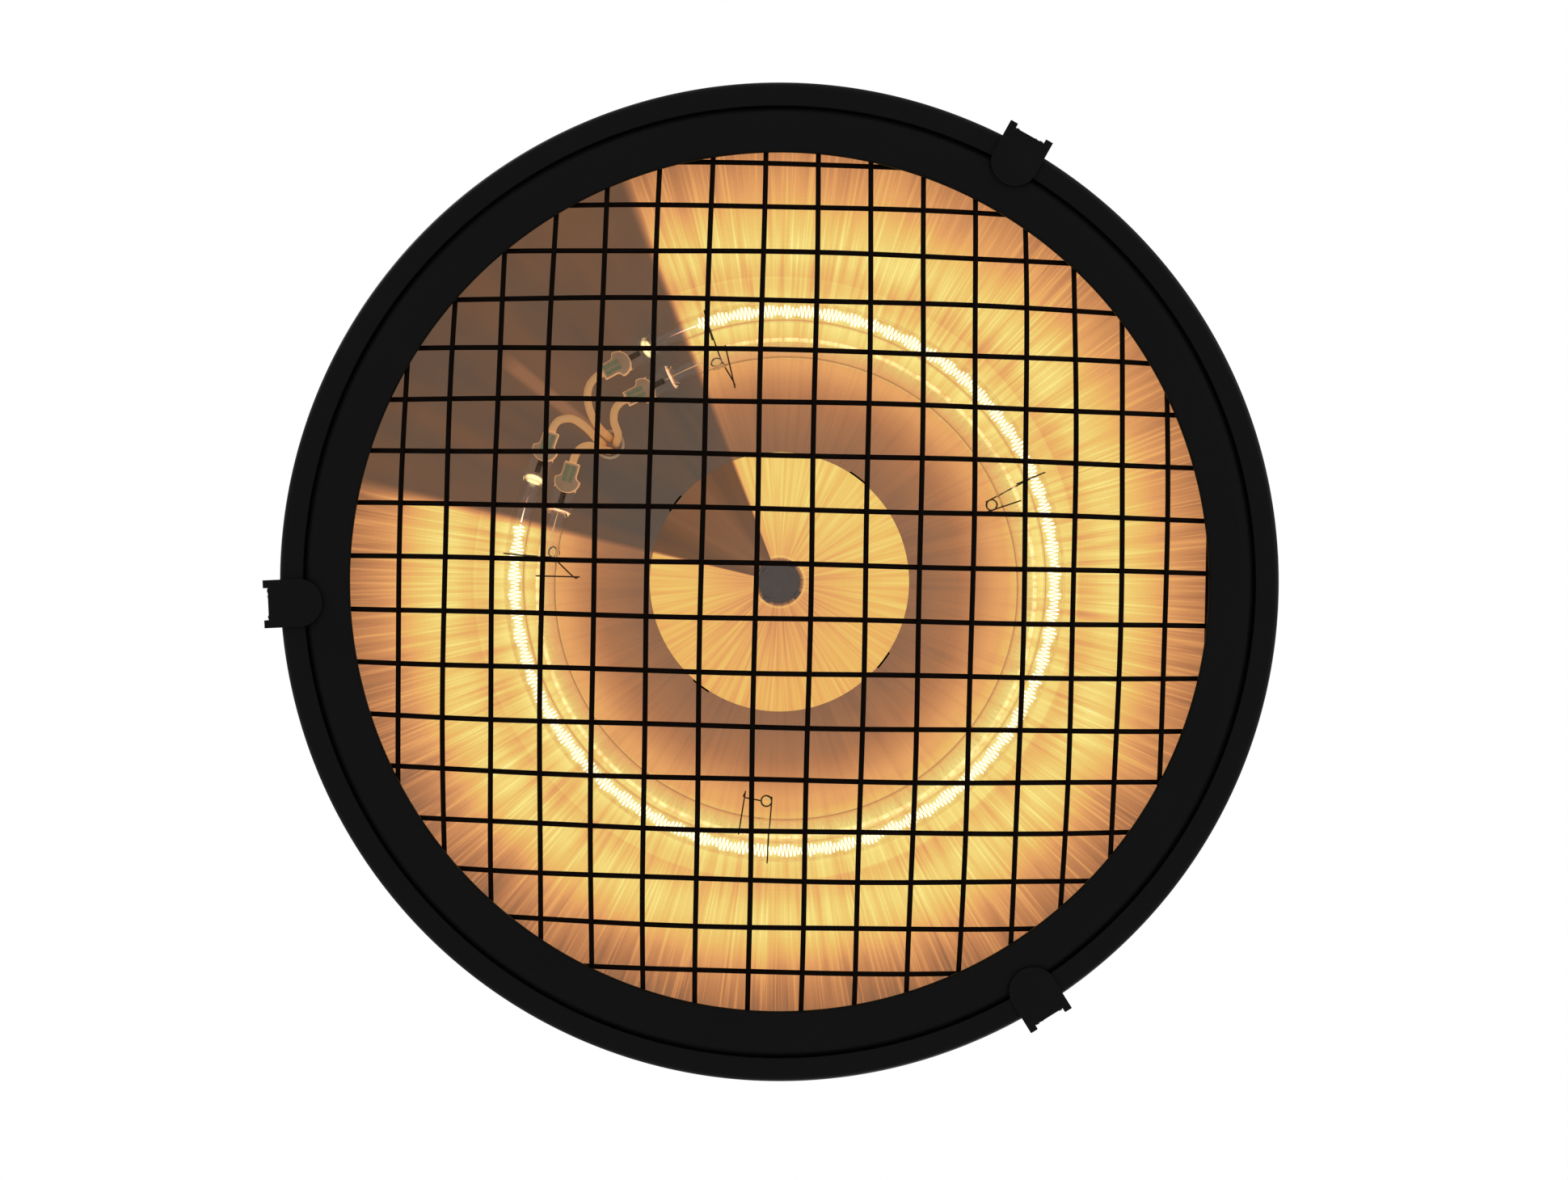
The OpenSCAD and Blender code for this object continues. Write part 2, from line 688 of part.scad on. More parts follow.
module reflector_rivets() {
    flange_h = mirror_at(mirror_r).y;
    color(zinc) in_place() for (a = bracket_angles) {
        translate(concat(turned(a, bracket_rivet_r), flange_h))
            rivet(bracket_h[0] + bracket_t - flange_h, rivet_r, 2, 0.9);
        rotate([0, 0, a]) translate([rim_r - shade_sheet - bracket_t - rivet_seat, 0, bracket_rivet_h])
            rotate([0, 90, 0]) rivet(bracket_t + shade_sheet + rivet_seat, rivet_r, 2.8, 0.9);
    }
}

module centre_reflector() {
    rim_h = floor_h - 0.75;
    path = [[0, apex_h], [apex_r, apex_h], [cone_r, rim_h]];
    color(warm_metal) in_place() {
        difference() {
            rotate_extrude() polygon(sheet(path, 0.8));
            for (a = tab_angles) rotate([0, 0, a]) translate([9.9, -2.6, apex_h - 1]) cube([1.5, 5.2, 3]);
        }
        for (a = tab_angles) rotate([0, 0, a]) translate([cone_tab_at, -cone_tab_w / 2, rim_h])
            cube([cone_tab_t, cone_tab_w, floor_h + mirror_sheet + 1.1 - rim_h]);
    }
}

// Dark cap on the apex, held by four bent tabs
module centre_cap() {
    color("#4b4f58") in_place() translate([0, 0, apex_h]) {
        translate([0, 0, -1.2]) cylinder(h = 1.15, r = cap_r);
        for (a = tab_angles) rotate([0, 0, a]) {
            translate([cap_r - 1, -2, -1.2]) cube([1.6, 4, 0.8]);
            translate([10.2, -2, -1.2]) cube([0.8, 4, 5]);
        }
    }
}

module centre_stud() {
    color(zinc) in_place() {
        translate([0, 0, apex_h + 0.82]) cylinder(h = 2, r = 6, $fn = 48);
        translate([0, 0, apex_h + 2]) cylinder(h = floor_h + 8 - apex_h - 2, r = 2.5, $fn = 48);
    }
}

module centre_nut() {
    color(zinc) in_place() translate([0, 0, floor_h + mirror_sheet]) hex_nut(9.4, 4, 2.5 + run_gap);
}

module lead_bushing() {
    color(ceramic) in_place() translate([bushing.x, bushing.y, floor_h]) difference() {
        union() {
            translate([0, 0, -3]) cylinder(h = 3 + mirror_sheet + 3, r = bushing_r);
            translate([0, 0, mirror_sheet]) cylinder(h = 1.5, r = bushing_flange_r);
        }
        translate([0, 0, -4]) cylinder(h = 12, r = bushing_bore);
    }
}

// ---------- lamps ----------

coil_start = gap_angle + (360 - coil_span) / 2;
coil_end = coil_start + coil_span;

// Puts a thing drawn along +X, with +Y outward, on the tangent at a lamp's end
module at_lamp_end(ring_r, at, last, overrun) {
    a = last ? coil_end + overrun : coil_start - overrun;
    translate([at.x, at.y, lamp_h]) rotate([0, 0, a]) translate([ring_r, 0, 0])
        rotate([0, 0, last ? 90 : -90]) mirror([0, last ? 1 : 0, 0]) children();
}

// The same place as a point: s along the tangent beyond the end of the glass arc
function lamp_end_point(ring_r, at, last, overrun, s) =
    let (a = last ? coil_end + overrun : coil_start - overrun, way = last ? 1 : -1)
    concat(at + turned(a, ring_r) + s * way * [-sin(a), cos(a)], lamp_h);

module lamp_glass_end() {
    translate([pinch_start - 1.2, 0, 0]) rotate([0, 90, 0]) cylinder(h = 1.2, d = tube_d);
    translate([pinch_start - eps, -shoulder_w / 2, -1.6]) cube([shoulder_len, shoulder_w, 3.2]);
    translate([pinch_start, -blade_w / 2, -blade_t / 2]) cube([blade_end - pinch_start, blade_w, blade_t]);
}

module lamp_tube(ring_r, at, overrun) {
    bore_d = tube_d - 2 * tube_wall;
    color("#cfe0e4", 0.4) in_place() {
        translate([at.x, at.y, lamp_h]) rotate([0, 0, coil_start - overrun[0]])
            rotate_extrude(angle = overrun[0] + coil_span + overrun[1], $fn = 180)
                translate([ring_r, 0]) difference() {
                    circle(d = tube_d, $fn = 48);
                    circle(d = bore_d, $fn = 48);
                }
        for (end = [0, 1]) at_lamp_end(ring_r, at, end == 1, overrun[end]) {
            translate([0.02, 0, 0]) rotate([0, 90, 0]) difference() {
                cylinder(h = pinch_start - 1.25, d = tube_d);
                translate([0, 0, -eps]) cylinder(h = pinch_start, d = bore_d);
            }
            lamp_glass_end();
        }
    }
}

module outer_lamp_tube() { lamp_tube(outer_lamp_r, outer_lamp_at, outer_overrun); }
module inner_lamp_tube() { lamp_tube(inner_lamp_r, inner_lamp_at, inner_overrun); }

// Helix wound round the lamp's ring, with a plain tail along the tube at each end
coil_rings = 8;
coil_wire = 0.9;
tail_angles = [4.2, 3.2, 2.2];

function coil_path(ring_r, at) =
    let (n = coil_curls * coil_rings,
         low = [for (a = tail_angles) concat(at + turned(coil_start - a, ring_r), lamp_h)],
         high = [for (k = [2 : -1 : 0]) concat(at + turned(coil_end + tail_angles[k], ring_r), lamp_h)],
         helix = [for (i = [0 : n])
             let (a = coil_start + coil_span * i / n,
                  turn = 360 * i / coil_rings,
                  swell = coil_r * min(1, i / coil_rings, (n - i) / coil_rings))
             concat(at + turned(a, ring_r + swell * cos(turn)), lamp_h + swell * sin(turn))])
    concat(low, helix, high);

module filament(ring_r, at) {
    path = coil_path(ring_r, at);
    echo(filament_least_gap = least_gap(path, coil_rings, coil_wire));
    color("#ffd890") in_place() wire(path, coil_wire / 2, 6);
}

module outer_filament() { filament(outer_lamp_r, outer_lamp_at); }
module inner_filament() { filament(inner_lamp_r, inner_lamp_at); }

// Ceramic end cap with a flared, slotted mouth that grips the glass blade
module lamp_cap(ring_r, at, last, overrun) {
    color(ceramic) in_place() at_lamp_end(ring_r, at, last, overrun) difference() {
        linear_extrude(cap_t, center = true) union() {
            translate([cap_start + cap_flare_r, 0]) intersection() {
                circle(r = cap_flare_r, $fn = 48);
                translate([-cap_flare_r, -cap_flare_r]) square([cap_flare_r + 2, 2 * cap_flare_r]);
            }
            translate([cap_start + cap_flare_r, -cap_body_w / 2])
                square([cap_len - cap_flare_r, cap_body_w]);
        }
        translate([cap_start - 1, -blade_w / 2 - 0.1, -blade_t / 2 - 0.1])
            cube([cap_slot_end - cap_start + 1, blade_w + 0.2, blade_t + 0.2]);
    }
}

// Lamps' ends in the order of the leads: [ring radius, ring centre, is the last end, overrun]
lamp_ends = [
    [outer_lamp_r, outer_lamp_at, false, outer_overrun[0]],
    [inner_lamp_r, inner_lamp_at, false, inner_overrun[0]],
    [outer_lamp_r, outer_lamp_at, true, outer_overrun[1]],
    [inner_lamp_r, inner_lamp_at, true, inner_overrun[1]]
];

module lamp_cap_of(i) {
    e = lamp_ends[i];
    lamp_cap(e[0], e[1], e[2], e[3]);
}
module lamp_cap_1() { lamp_cap_of(0); }
module lamp_cap_2() { lamp_cap_of(1); }
module lamp_cap_3() { lamp_cap_of(2); }
module lamp_cap_4() { lamp_cap_of(3); }

function lead_route(i) =
    let (e = lamp_ends[i], o = turned(lead_turns[i], lead_offset))
    concat(
        [lamp_end_point(e[0], e[1], e[2], e[3], cap_start + cap_len + 0.05)],
        lead_fronts[i],
        [for (p = lead_trunk) [p.x + p[3] * o.x, p.y + p[3] * o.y, p.z]],
        lead_tails[i]
    );

module lamp_lead(i) { color(sleeve) in_place() wire(lead_route(i), lead_d / 2, 8); }
module lamp_lead_1() { lamp_lead(0); }
module lamp_lead_2() { lamp_lead(1); }
module lamp_lead_3() { lamp_lead(2); }
module lamp_lead_4() { lamp_lead(3); }

// ---------- lamp supports ----------

// Distance of a lamp's centre line from the axis, in a given direction
function lamp_reach(ring_r, at, angle) = ring_r + at * [cos(angle), sin(angle)];

// Distance of a hook's wire from the centre line of its tube
hook_bend = tube_d / 2 + spring_clear + spring_wire / 2;

// Three quarters of a loop round post i, drawn along +X: it leaves outward (+1) or inward (-1),
// on the side that the hook is turned to
function post_loop(i, way, turn, h) =
    let (r = post_r + 0.1 + spring_wire / 2)
    [for (a = [360 : -30 : 90]) [post_at[i] + way * r * cos(a), sign(turn) * r * sin(a), h]];

// A point of a hook from the tube's centre line: outward, height, and turn about the part's axis
function hook_point(tube_at, turn, out, h) = concat(turned(turn, tube_at + out), lamp_h + h);

// Behind both tubes, round the outer side of the outer one, with its end inward in front
function outer_hook(i) =
    let (turn = outer_hook_turn[i], at = lamp_reach(outer_lamp_r, outer_lamp_at, support_angles[i] + turn))
    concat(
        post_loop(i, 1, turn, 55),
        [for (a = [90 : -22.5 : -90]) hook_point(at, turn, hook_bend * cos(a), hook_bend * sin(a))],
        [hook_point(at, turn, -4, -hook_bend), hook_point(at, turn, -9, -hook_bend - 1)]
    );

// Inward from the post, back under the inner tube, and up its outer side
function inner_hook(i) =
    let (turn = inner_hook_turn[i], at = lamp_reach(inner_lamp_r, inner_lamp_at, support_angles[i] + turn),
         reach = hook_reach)
    concat(
        post_loop(i, -1, turn, 52.4),
        [for (p = [[3 - reach, 3], [0.8 - reach, 1.2], [-reach, -1.2], [0.8 - reach, -3.6], [3 - reach, -4.6]])
            hook_point(at, turn, p[0], p[1])],
        [for (a = [-90 : 25 : -40]) hook_point(at, turn, hook_bend * cos(a), hook_bend * sin(a))]
    );

module lamp_springs() {
    color(zinc) in_place() for (i = [0 : 3]) rotate([0, 0, support_angles[i]]) {
        wire(outer_hook(i), spring_wire / 2, 6);
        wire(inner_hook(i), spring_wire / 2, 6);
    }
}

module spring_posts() {
    color(steel) in_place() for (i = [0 : 3])
        translate(concat(turned(support_angles[i], post_at[i]), post_tip_h)) difference() {
            cylinder(h = floor_h - post_tip_h, r = post_r, $fn = 32);
            translate([0, 0, -eps]) cylinder(h = 12, r = post_bore, $fn = 32);
        }
}

// ---------- guard clips ----------

module at_clip(i) rotate([0, 0, clip_angles[i]]) children();

// Rod across a clip, centred, parallel to its hinge pin
module cross_rod(r, w, at = [clip_pin_at, clip_pin_h]) {
    translate([at.x, w / 2, at.y]) rotate([90, 0, 0]) cylinder(h = w, r = r, $fn = 48);
}

module clip_lug() {
    span = (claw_w - 2) / rim_r * 180 / PI;
    difference() {
        union() {
            translate([0, 0, lug_h[0]]) rotate([0, 0, -span / 2]) rotate_extrude(angle = span, $fn = 180)
                translate([rim_r, 0]) square([lug_t, lug_h[1] - lug_h[0]]);
            for (side = [-1, 1]) translate([0, side * (ear_at + ear_t / 2), 0]) {
                translate([rim_r + 0.4, -ear_t / 2, clip_pin_h - ear_eye_r])
                    cube([clip_pin_at - rim_r - 0.4, ear_t, 2 * ear_eye_r]);
                cross_rod(ear_eye_r, ear_t);
            }
        }
        cross_rod(clip_pin_r, claw_w);
        for (side = [-1, 1]) radial_rod(0, lug_rivet[1], rivet_r + run_gap, rim_r - 2, rim_r + 4,
            side * lug_rivet[0]);
    }
}

module clip_lugs() { color(black) in_place() for (i = [0 : 2]) at_clip(i) clip_lug(); }

// Headless pins, pressed into the lugs' ears
module clip_pins() { color(black) in_place() for (i = [0 : 2]) at_clip(i) cross_rod(clip_pin_r, claw_w - 0.4); }

module clip_rivets() {
    color(black) in_place() for (i = [0 : 2], side = [-1, 1]) at_clip(i)
        translate([rim_r - shade_sheet - rivet_seat, side * lug_rivet[0], lug_rivet[1]]) rotate([0, 90, 0])
            rivet(shade_sheet + lug_t + rivet_seat, rivet_r, 2.1, 1);
}

// Torsion spring round the hinge pin: one leg bears on the lug, the other on the claw
clip_coil_start = 180;
clip_coil_stop = -13.2 - 360 * clip_coil_turns;

function clip_coil_path() =
    let (n = clip_coil_turns * 8 + 4,
         w = clip_coil_pitch * (clip_coil_start - clip_coil_stop) / 360,
         coil = [for (i = [0 : n])
             let (a = clip_coil_start + (clip_coil_stop - clip_coil_start) * i / n)
             [clip_pin_at + clip_coil_r * cos(a), w * (i / n - 0.5), clip_pin_h + clip_coil_r * sin(a)]])
    concat(
        [[rim_r + lug_t + 0.1 + clip_coil_wire / 2, -w / 2, clip_pin_h - 3.4],
            [clip_pin_at - clip_coil_r, -w / 2, clip_pin_h - 1.8]],
        coil,
        [[clip_pin_at + 1.8, w / 2, clip_pin_h - 4.2], [clip_pin_at + 0.9, w / 2, clip_pin_h - 8]]
    );

module clip_spring(i) {
    path = clip_coil_path();
    echo(clip_spring_least_gap = least_gap(path, 8, clip_coil_wire));
    color(steel) in_place() at_clip(i) wire(path, clip_coil_wire / 2, 6);
}

module clip_spring_1() { clip_spring(0); }
module clip_spring_2() { clip_spring(1); }
module clip_spring_3() { clip_spring(2); }

module clip_claw(i) {
    jaw_low = jaw_top_h - jaw_t;
    web_top = clip_pin_h - 4.5;
    tip_r = claw_w / 2;
    color(black) in_place() at_clip(i) difference() {
        union() {
            translate([0, 0, jaw_low]) linear_extrude(jaw_t) union() {
                translate([jaw_tip_r + tip_r, 0]) circle(r = tip_r);
                translate([jaw_tip_r + tip_r, -tip_r])
                    square([clip_pin_at - jaw_tip_r - tip_r, claw_w]);
            }
            translate([clip_pin_at - claw_t, -tip_r, jaw_low]) cube([claw_t, claw_w, web_top - jaw_low]);
            for (side = [-1, 1]) translate([0, side * (tip_r - flange_t / 2), 0]) {
                translate([clip_pin_at - claw_eye_r, -flange_t / 2, jaw_low])
                    cube([claw_eye_r + horn, flange_t, clip_pin_h - jaw_low]);
                cross_rod(claw_eye_r, flange_t);
            }
        }
        cross_rod(clip_pin_r + run_gap, claw_w + 1);
    }
}

module clip_claw_1() { clip_claw(0); }
module clip_claw_2() { clip_claw(1); }
module clip_claw_3() { clip_claw(2); }

// ---------- guard ----------

dome_centre_h = dome_r - dome_depth;
border_h = guard_sheet + border_d / 2 + 0.02;
border_sphere_r = dome_r + wire_d / 2 + border_d / 2 + 0.05;
border_r = sqrt(pow(border_sphere_r, 2) - pow(dome_centre_h - border_h, 2));
front_end_r = 203;       // where the front layer of wires ends, past the border wire
back_end_r = 197;        // where the back layer ends, behind the ring

module guard_ring() {
    path = [
        [opening_r, 2.2], [opening_r, 0.9], [opening_r + 0.9, 0], [guard_ring_r - 5.5, 0],
        [guard_ring_r - 2.2, 0.7], [guard_ring_r, 2.2], [guard_ring_r, shelf_h - rest_gap]
    ];
    color(black) in_place() rotate_extrude($fn = 180) polygon(sheet(path, guard_sheet));
}

module guard_border() {
    color(black) in_place() translate([0, 0, border_h]) rotate_extrude($fn = 180)
        translate([border_r, 0]) circle(d = border_d, $fn = 32);
}

// One wire of the dome in the plane x = offset, ending at a given radius from the axis
module dome_wire(sphere_r, offset, end_r) {
    arc_r = sqrt(pow(sphere_r, 2) - pow(offset, 2));
    half = asin(sqrt(pow(end_r, 2) - pow(offset, 2)) / arc_r);
    translate([offset, 0, dome_centre_h]) rotate([0, 90, 0]) rotate([0, 0, -half])
        rotate_extrude(angle = 2 * half, $fn = 180) translate([arc_r, 0]) circle(d = wire_d, $fn = 24);
}

function dome_offset(shift, k) = dome_r * sin((shift + k * wire_pitch) / dome_r * 180 / PI);

module guard_mesh() {
    back_r = dome_r - wire_d - 0.05;
    color(black) in_place() rotate([0, 0, mesh_turn]) {
        for (k = [-7 : 9]) dome_wire(dome_r, dome_offset(wire_shift_x, k), front_end_r);
        rotate([0, 0, 90]) for (k = [-8 : 9]) dome_wire(back_r, -dome_offset(-wire_shift_y, -k), back_end_r);
    }
}

hanger();
clamp_knob_left();
clamp_knob_right();
pivot_bolts();
pivot_washers();
can();
can_lid();
lid_screws();
can_gasket();
can_rivets();
gland_body();
gland_nut();
gland_seal();
gland_locknut();
selector_switch();
selector_nut();
selector_shaft();
selector_knob();
terminal_block();
terminal_screws();
thermal_cutout();
lead_grommet();
shade();
heat_shield();
shield_spacers();
reflector();
reflector_brackets();
reflector_rivets();
centre_reflector();
centre_cap();
centre_stud();
centre_nut();
lead_bushing();
outer_lamp_tube();
inner_lamp_tube();
outer_filament();
inner_filament();
lamp_cap_1();
lamp_cap_2();
lamp_cap_3();
lamp_cap_4();
lamp_lead_1();
lamp_lead_2();
lamp_lead_3();
lamp_lead_4();
lamp_springs();
spring_posts();
clip_lugs();
clip_pins();
clip_rivets();
clip_spring_1();
clip_spring_2();
clip_spring_3();
clip_claw_1();
clip_claw_2();
clip_claw_3();
guard_ring();
guard_border();
guard_mesh();
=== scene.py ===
"""Looks of a pendant infrared heater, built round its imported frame.

Sizes in the classes are millimetres, but the studio's are metres. Points are given as x, y and h,
where x and y are the frame's own and h is the height above the front plane of the shade's rim.
The frame's origin is the ceiling-bolt hole of the hanger, +Z is up and the heater faces -Z.
"""

from __future__ import annotations

import json
import logging
import math
from abc import ABC, abstractmethod
from collections.abc import Mapping, Sequence
from dataclasses import dataclass, field
from enum import Enum
from functools import lru_cache

import bmesh
import bpy
import numpy as np
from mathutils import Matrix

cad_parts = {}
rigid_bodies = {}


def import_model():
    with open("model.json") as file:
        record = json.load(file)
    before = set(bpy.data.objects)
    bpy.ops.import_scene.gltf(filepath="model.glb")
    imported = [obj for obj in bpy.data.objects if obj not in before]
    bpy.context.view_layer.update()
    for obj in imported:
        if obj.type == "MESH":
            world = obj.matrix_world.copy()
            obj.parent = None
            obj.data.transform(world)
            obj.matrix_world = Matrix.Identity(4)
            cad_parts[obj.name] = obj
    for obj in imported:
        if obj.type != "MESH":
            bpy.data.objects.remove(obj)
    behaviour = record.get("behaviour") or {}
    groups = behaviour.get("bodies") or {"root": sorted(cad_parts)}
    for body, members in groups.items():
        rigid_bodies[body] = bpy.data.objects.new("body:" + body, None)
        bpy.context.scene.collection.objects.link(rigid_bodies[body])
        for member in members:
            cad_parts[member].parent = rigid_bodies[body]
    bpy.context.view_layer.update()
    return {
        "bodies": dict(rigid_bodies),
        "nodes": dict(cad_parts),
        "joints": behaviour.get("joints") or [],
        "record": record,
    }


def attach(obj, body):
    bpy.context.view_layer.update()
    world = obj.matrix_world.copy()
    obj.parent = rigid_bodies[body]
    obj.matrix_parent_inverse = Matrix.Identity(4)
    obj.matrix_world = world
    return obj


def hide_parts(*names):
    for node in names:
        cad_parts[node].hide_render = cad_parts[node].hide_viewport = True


LOG = logging.getLogger("heater")
HANG_DROP = 290.0  # mm from the rim's front plane up to the origin
FLOOR_H = 73.0  # height of the mirror's flat floor
LAMP_H = 45.0  # height of the lamps' centre lines
TAB_ANGLES = (37.0, 127.0, 217.0, 307.0)  # directions of the cone's and the cap's tabs, degrees
UP = np.array([0.0, 0.0, 1.0])
Course = tuple[tuple[float, ...], ...]  # points along a lead: x, y, h, and a share where it says so


class Body(str, Enum):
    """Moving bodies of the frame."""

    HANGER = "hanger"
    HOUSING = "housing"
    GUARD = "guard"
    CLAW_1 = "clip_claw_1"
    CLAW_2 = "clip_claw_2"
    CLAW_3 = "clip_claw_3"
    KNOB_LEFT = "clamp_knob_left"
    KNOB_RIGHT = "clamp_knob_right"
    SELECTOR = "selector"


# ---------------------------------------------------------------- colours and node trees


def linear(hex_colour: str) -> tuple[float, float, float]:
    """Turn an sRGB hex colour into linear light.

    Args:
        hex_colour: Six hex digits with a leading hash.

    Returns:
        Red, green and blue from 0 to 1.
    """
    s = np.array([int(hex_colour[i : i + 2], 16) / 255.0 for i in (1, 3, 5)])
    low, high = s / 12.92, ((s + 0.055) / 1.055) ** 2.4
    return tuple(float(v) for v in np.where(s <= 0.04045, low, high))


def heading(degrees: float) -> tuple[float, float]:
    """Cosine and sine of an angle.

    Args:
        degrees: Angle from +X.

    Returns:
        The x and y of the unit vector that way.
    """
    return math.cos(math.radians(degrees)), math.sin(math.radians(degrees))


class Graph:
    """The node tree of one material or world."""

    def __init__(self, owner: bpy.types.Material | bpy.types.World) -> None:
        """Start an empty tree.

        Args:
            owner: The new material or world.
        """
        self.owner = owner
        owner.use_nodes = True
        self.tree = owner.node_tree
        self.tree.nodes.clear()

    def add(self, kind: str, inputs: Mapping | None = None, **settings) -> bpy.types.Node:
        """Add a node with its settings and links.

        Args:
            kind: Node type without the ShaderNode prefix.
            inputs: Value, socket or node for each input, by name or number.
            **settings: Properties of the node; stops gives a ramp's places and colours.

        Returns:
            The new node.
        """
        node = self.tree.nodes.new("ShaderNode" + kind)
        for key, value in settings.items():
            if key == "stops":
                elements = node.color_ramp.elements
                while len(elements) < len(value):
                    elements.new(1.0)
                for element, (place, colour) in zip(elements, value):
                    element.position = place
                    element.color = (*colour, 1.0)
            else:
                setattr(node, key, value)
        for key, value in (inputs or {}).items():
            source = value.outputs[0] if isinstance(value, bpy.types.Node) else value
            if isinstance(source, bpy.types.NodeSocket):
                self.tree.links.new(source, node.inputs[key])
            else:
                node.inputs[key].default_value = source
        return node

    def plane(self, scale: float = 1000.0) -> bpy.types.Node:
        """Place in the plane across the axis, in millimetres unless scaled otherwise.

        Args:
            scale: Units in a metre.

        Returns:
            Node of the vector x, y, 0.
        """
        place = self.add("TexCoord").outputs["Object"]
        return self.add("VectorMath", {0: place, 1: (scale, scale, 0)}, operation="MULTIPLY")

    def seen(self) -> bpy.types.NodeSocket:
        """Whether a camera, glossy or transmission ray looks.

        Returns:
            Socket that is 1 for those rays and 0 for others.
        """
        path = self.add("LightPath").outputs
        seen = path["Is Camera Ray"]
        for name in ("Is Glossy Ray", "Is Transmission Ray"):
            seen = self.add("Math", {0: seen, 1: path[name]}, operation="MAXIMUM").outputs[0]
        return seen

    def finish(self, shader: bpy.types.Node, output: str = "OutputMaterial") -> bpy.types.ID:
        """Join the shader to the output.

        Args:
            shader: The surface shader.
            output: Type of the output node.

        Returns:
            The finished material or world.
        """
        self.add(output, {"Surface": shader})
        return self.owner


@dataclass(frozen=True)
class Finish(ABC):
    """A surface finish that one material stands for."""

    name: str
    slot: str

    @abstractmethod
    def build(self, g: Graph) -> bpy.types.Node:
        """Draw the shader.

        Args:
            g: Empty tree to draw in.

        Returns:
            The surface shader.
        """

    @lru_cache(maxsize=None)
    def material(self) -> bpy.types.Material:
        """Make the material once and share it."""
        g = Graph(bpy.data.materials.new(self.name))
        return g.finish(self.build(g))


@dataclass(frozen=True)
class Grained(Finish):
    """A finish with a fine grain: mottled colour, mottled gloss and a shallow relief."""

    colour: str = "#808080"
    mottle: str = "#707070"
    grain: float = 0.5  # mm between grains
    patch: float = 12.0  # mm across a patch of wear or dust
    relief: float = 0.1
    roughness: tuple[float, float] = (0.4, 0.6)
    metallic: float = 0.0
    specular: float = 0.5
    lamp_light: str = "#000000"  # painted light that the hot lamps throw on it

    def build(self, g: Graph) -> bpy.types.Node:
        """Draw the shader.

        Args:
            g: Empty tree to draw in.

        Returns:
            The surface shader.
        """
        place = g.add("TexCoord").outputs["Object"]
        grain = g.add("TexNoise", {"Vector": place, "Scale": 1000 / self.grain, "Detail": 2.0})
        patch = g.add("TexNoise", {"Vector": place, "Scale": 1000 / self.patch, "Detail": 3.0})
        mixed = g.add("Math", {0: grain, 1: patch}, operation="ADD")
        part = g.add("MapRange", {0: mixed, 1: 0.7, 2: 1.3, 3: 0.0, 4: 1.0})
        stops = [(0.0, linear(self.mottle)), (1.0, linear(self.colour))]
        colour = g.add("ValToRGB", {0: part}, stops=stops)
        low, high = self.roughness
        rough = g.add("MapRange", {0: patch, 1: 0.3, 2: 0.7, 3: low, 4: high})
        depth = self.grain / 2000
        bump = g.add("Bump", {"Height": grain, "Strength": self.relief, "Distance": depth})
        values = {"Base Color": colour, "Roughness": rough, "Normal": bump}
        values |= {"Metallic": self.metallic, "Specular IOR Level": self.specular}
        values |= {"Emission Color": (*linear(self.lamp_light), 1), "Emission Strength": 1.0}
        return g.add("BsdfPrincipled", values)


@dataclass(frozen=True)
class Spun(Finish):
    """Bare aluminium sheet spun on a lathe: bright, with fine circular tool lines."""

    colour: str = "#b9b2a6"
    line: float = 0.6  # mm between tool lines

    def build(self, g: Graph) -> bpy.types.Node:
        """Draw the shader.

        Args:
            g: Empty tree to draw in.

        Returns:
            The surface shader.
        """
        radius = g.add("VectorMath", {0: g.plane(1.0)}, operation="LENGTH").outputs["Value"]
        lines = g.add("TexNoise", {"W": radius, "Scale": 1000 / self.line}, noise_dimensions="1D")
        rough = g.add("MapRange", {0: lines, 1: 0.3, 2: 0.7, 3: 0.25, 4: 0.45})
        bump = g.add("Bump", {"Height": lines, "Strength": 0.15, "Distance": 0.0001})
        values = {"Base Color": (*linear(self.colour), 1), "Metallic": 1.0}
        return g.add("BsdfPrincipled", values | {"Roughness": rough, "Normal": bump})


# Colours of the lamp's reflection, painted on bare aluminium, from a dark corner up to the lamp
# itself. The number is the painted light's strength, and the colour is what the eye sees there.
PAINTED_REFLECTION_COLOURS = (
    (0.28, "#57493f"),
    (0.305, "#614e41"),
    (0.335, "#7a563e"),
    (0.40, "#956749"),
    (0.44, "#a6704b"),
    (0.47, "#b6784e"),
    (0.54, "#cc8a57"),
    (0.63, "#e5a162"),
    (0.71, "#ecb565"),
    (0.79, "#f0c96f"),
    (0.835, "#f4d579"),
    (0.92, "#feea8a"),
    (0.955, "#fff3ba"),
    (1.0, "#fffde1"),
)
AMBIENT = "#3a271c"  # what the dark mirror already sends back from the studio


def painted_reflection_stops(ambient: str) -> list[tuple[float, tuple[float, float, float]]]:
    """Work out the ramp of painted reflection colours.

    The studio's own reflection is taken off each colour, because the shader adds it again.

    Args:
        ambient: Colour of the studio's reflection.

    Returns:
        Places and linear colours for a ramp.
    """
    base = np.array(linear(ambient))
    return [(h, tuple(np.maximum(np.array(linear(c)) - base, 0.0))) for h, c in PAINTED_REFLECTION_COLOURS]


def off_ring(g: Graph, flat: bpy.types.Node, ring: Sequence[float]) -> bpy.types.Node:
    """Distance outward of a ring: the length of place minus centre, less the radius.

    Args:
        g: Tree to draw in.
        flat: Place in the plane, mm.
        ring: Radius and centre.

    Returns:
        Node that gives the distance, negative inside the ring.
    """
    there = g.add("VectorMath", {0: flat, 1: (*ring[1:], 0)}, operation="SUBTRACT")
    length = g.add("VectorMath", {0: there}, operation="LENGTH").outputs["Value"]
    return g.add("Math", {0: length, 1: ring[0]}, operation="SUBTRACT")


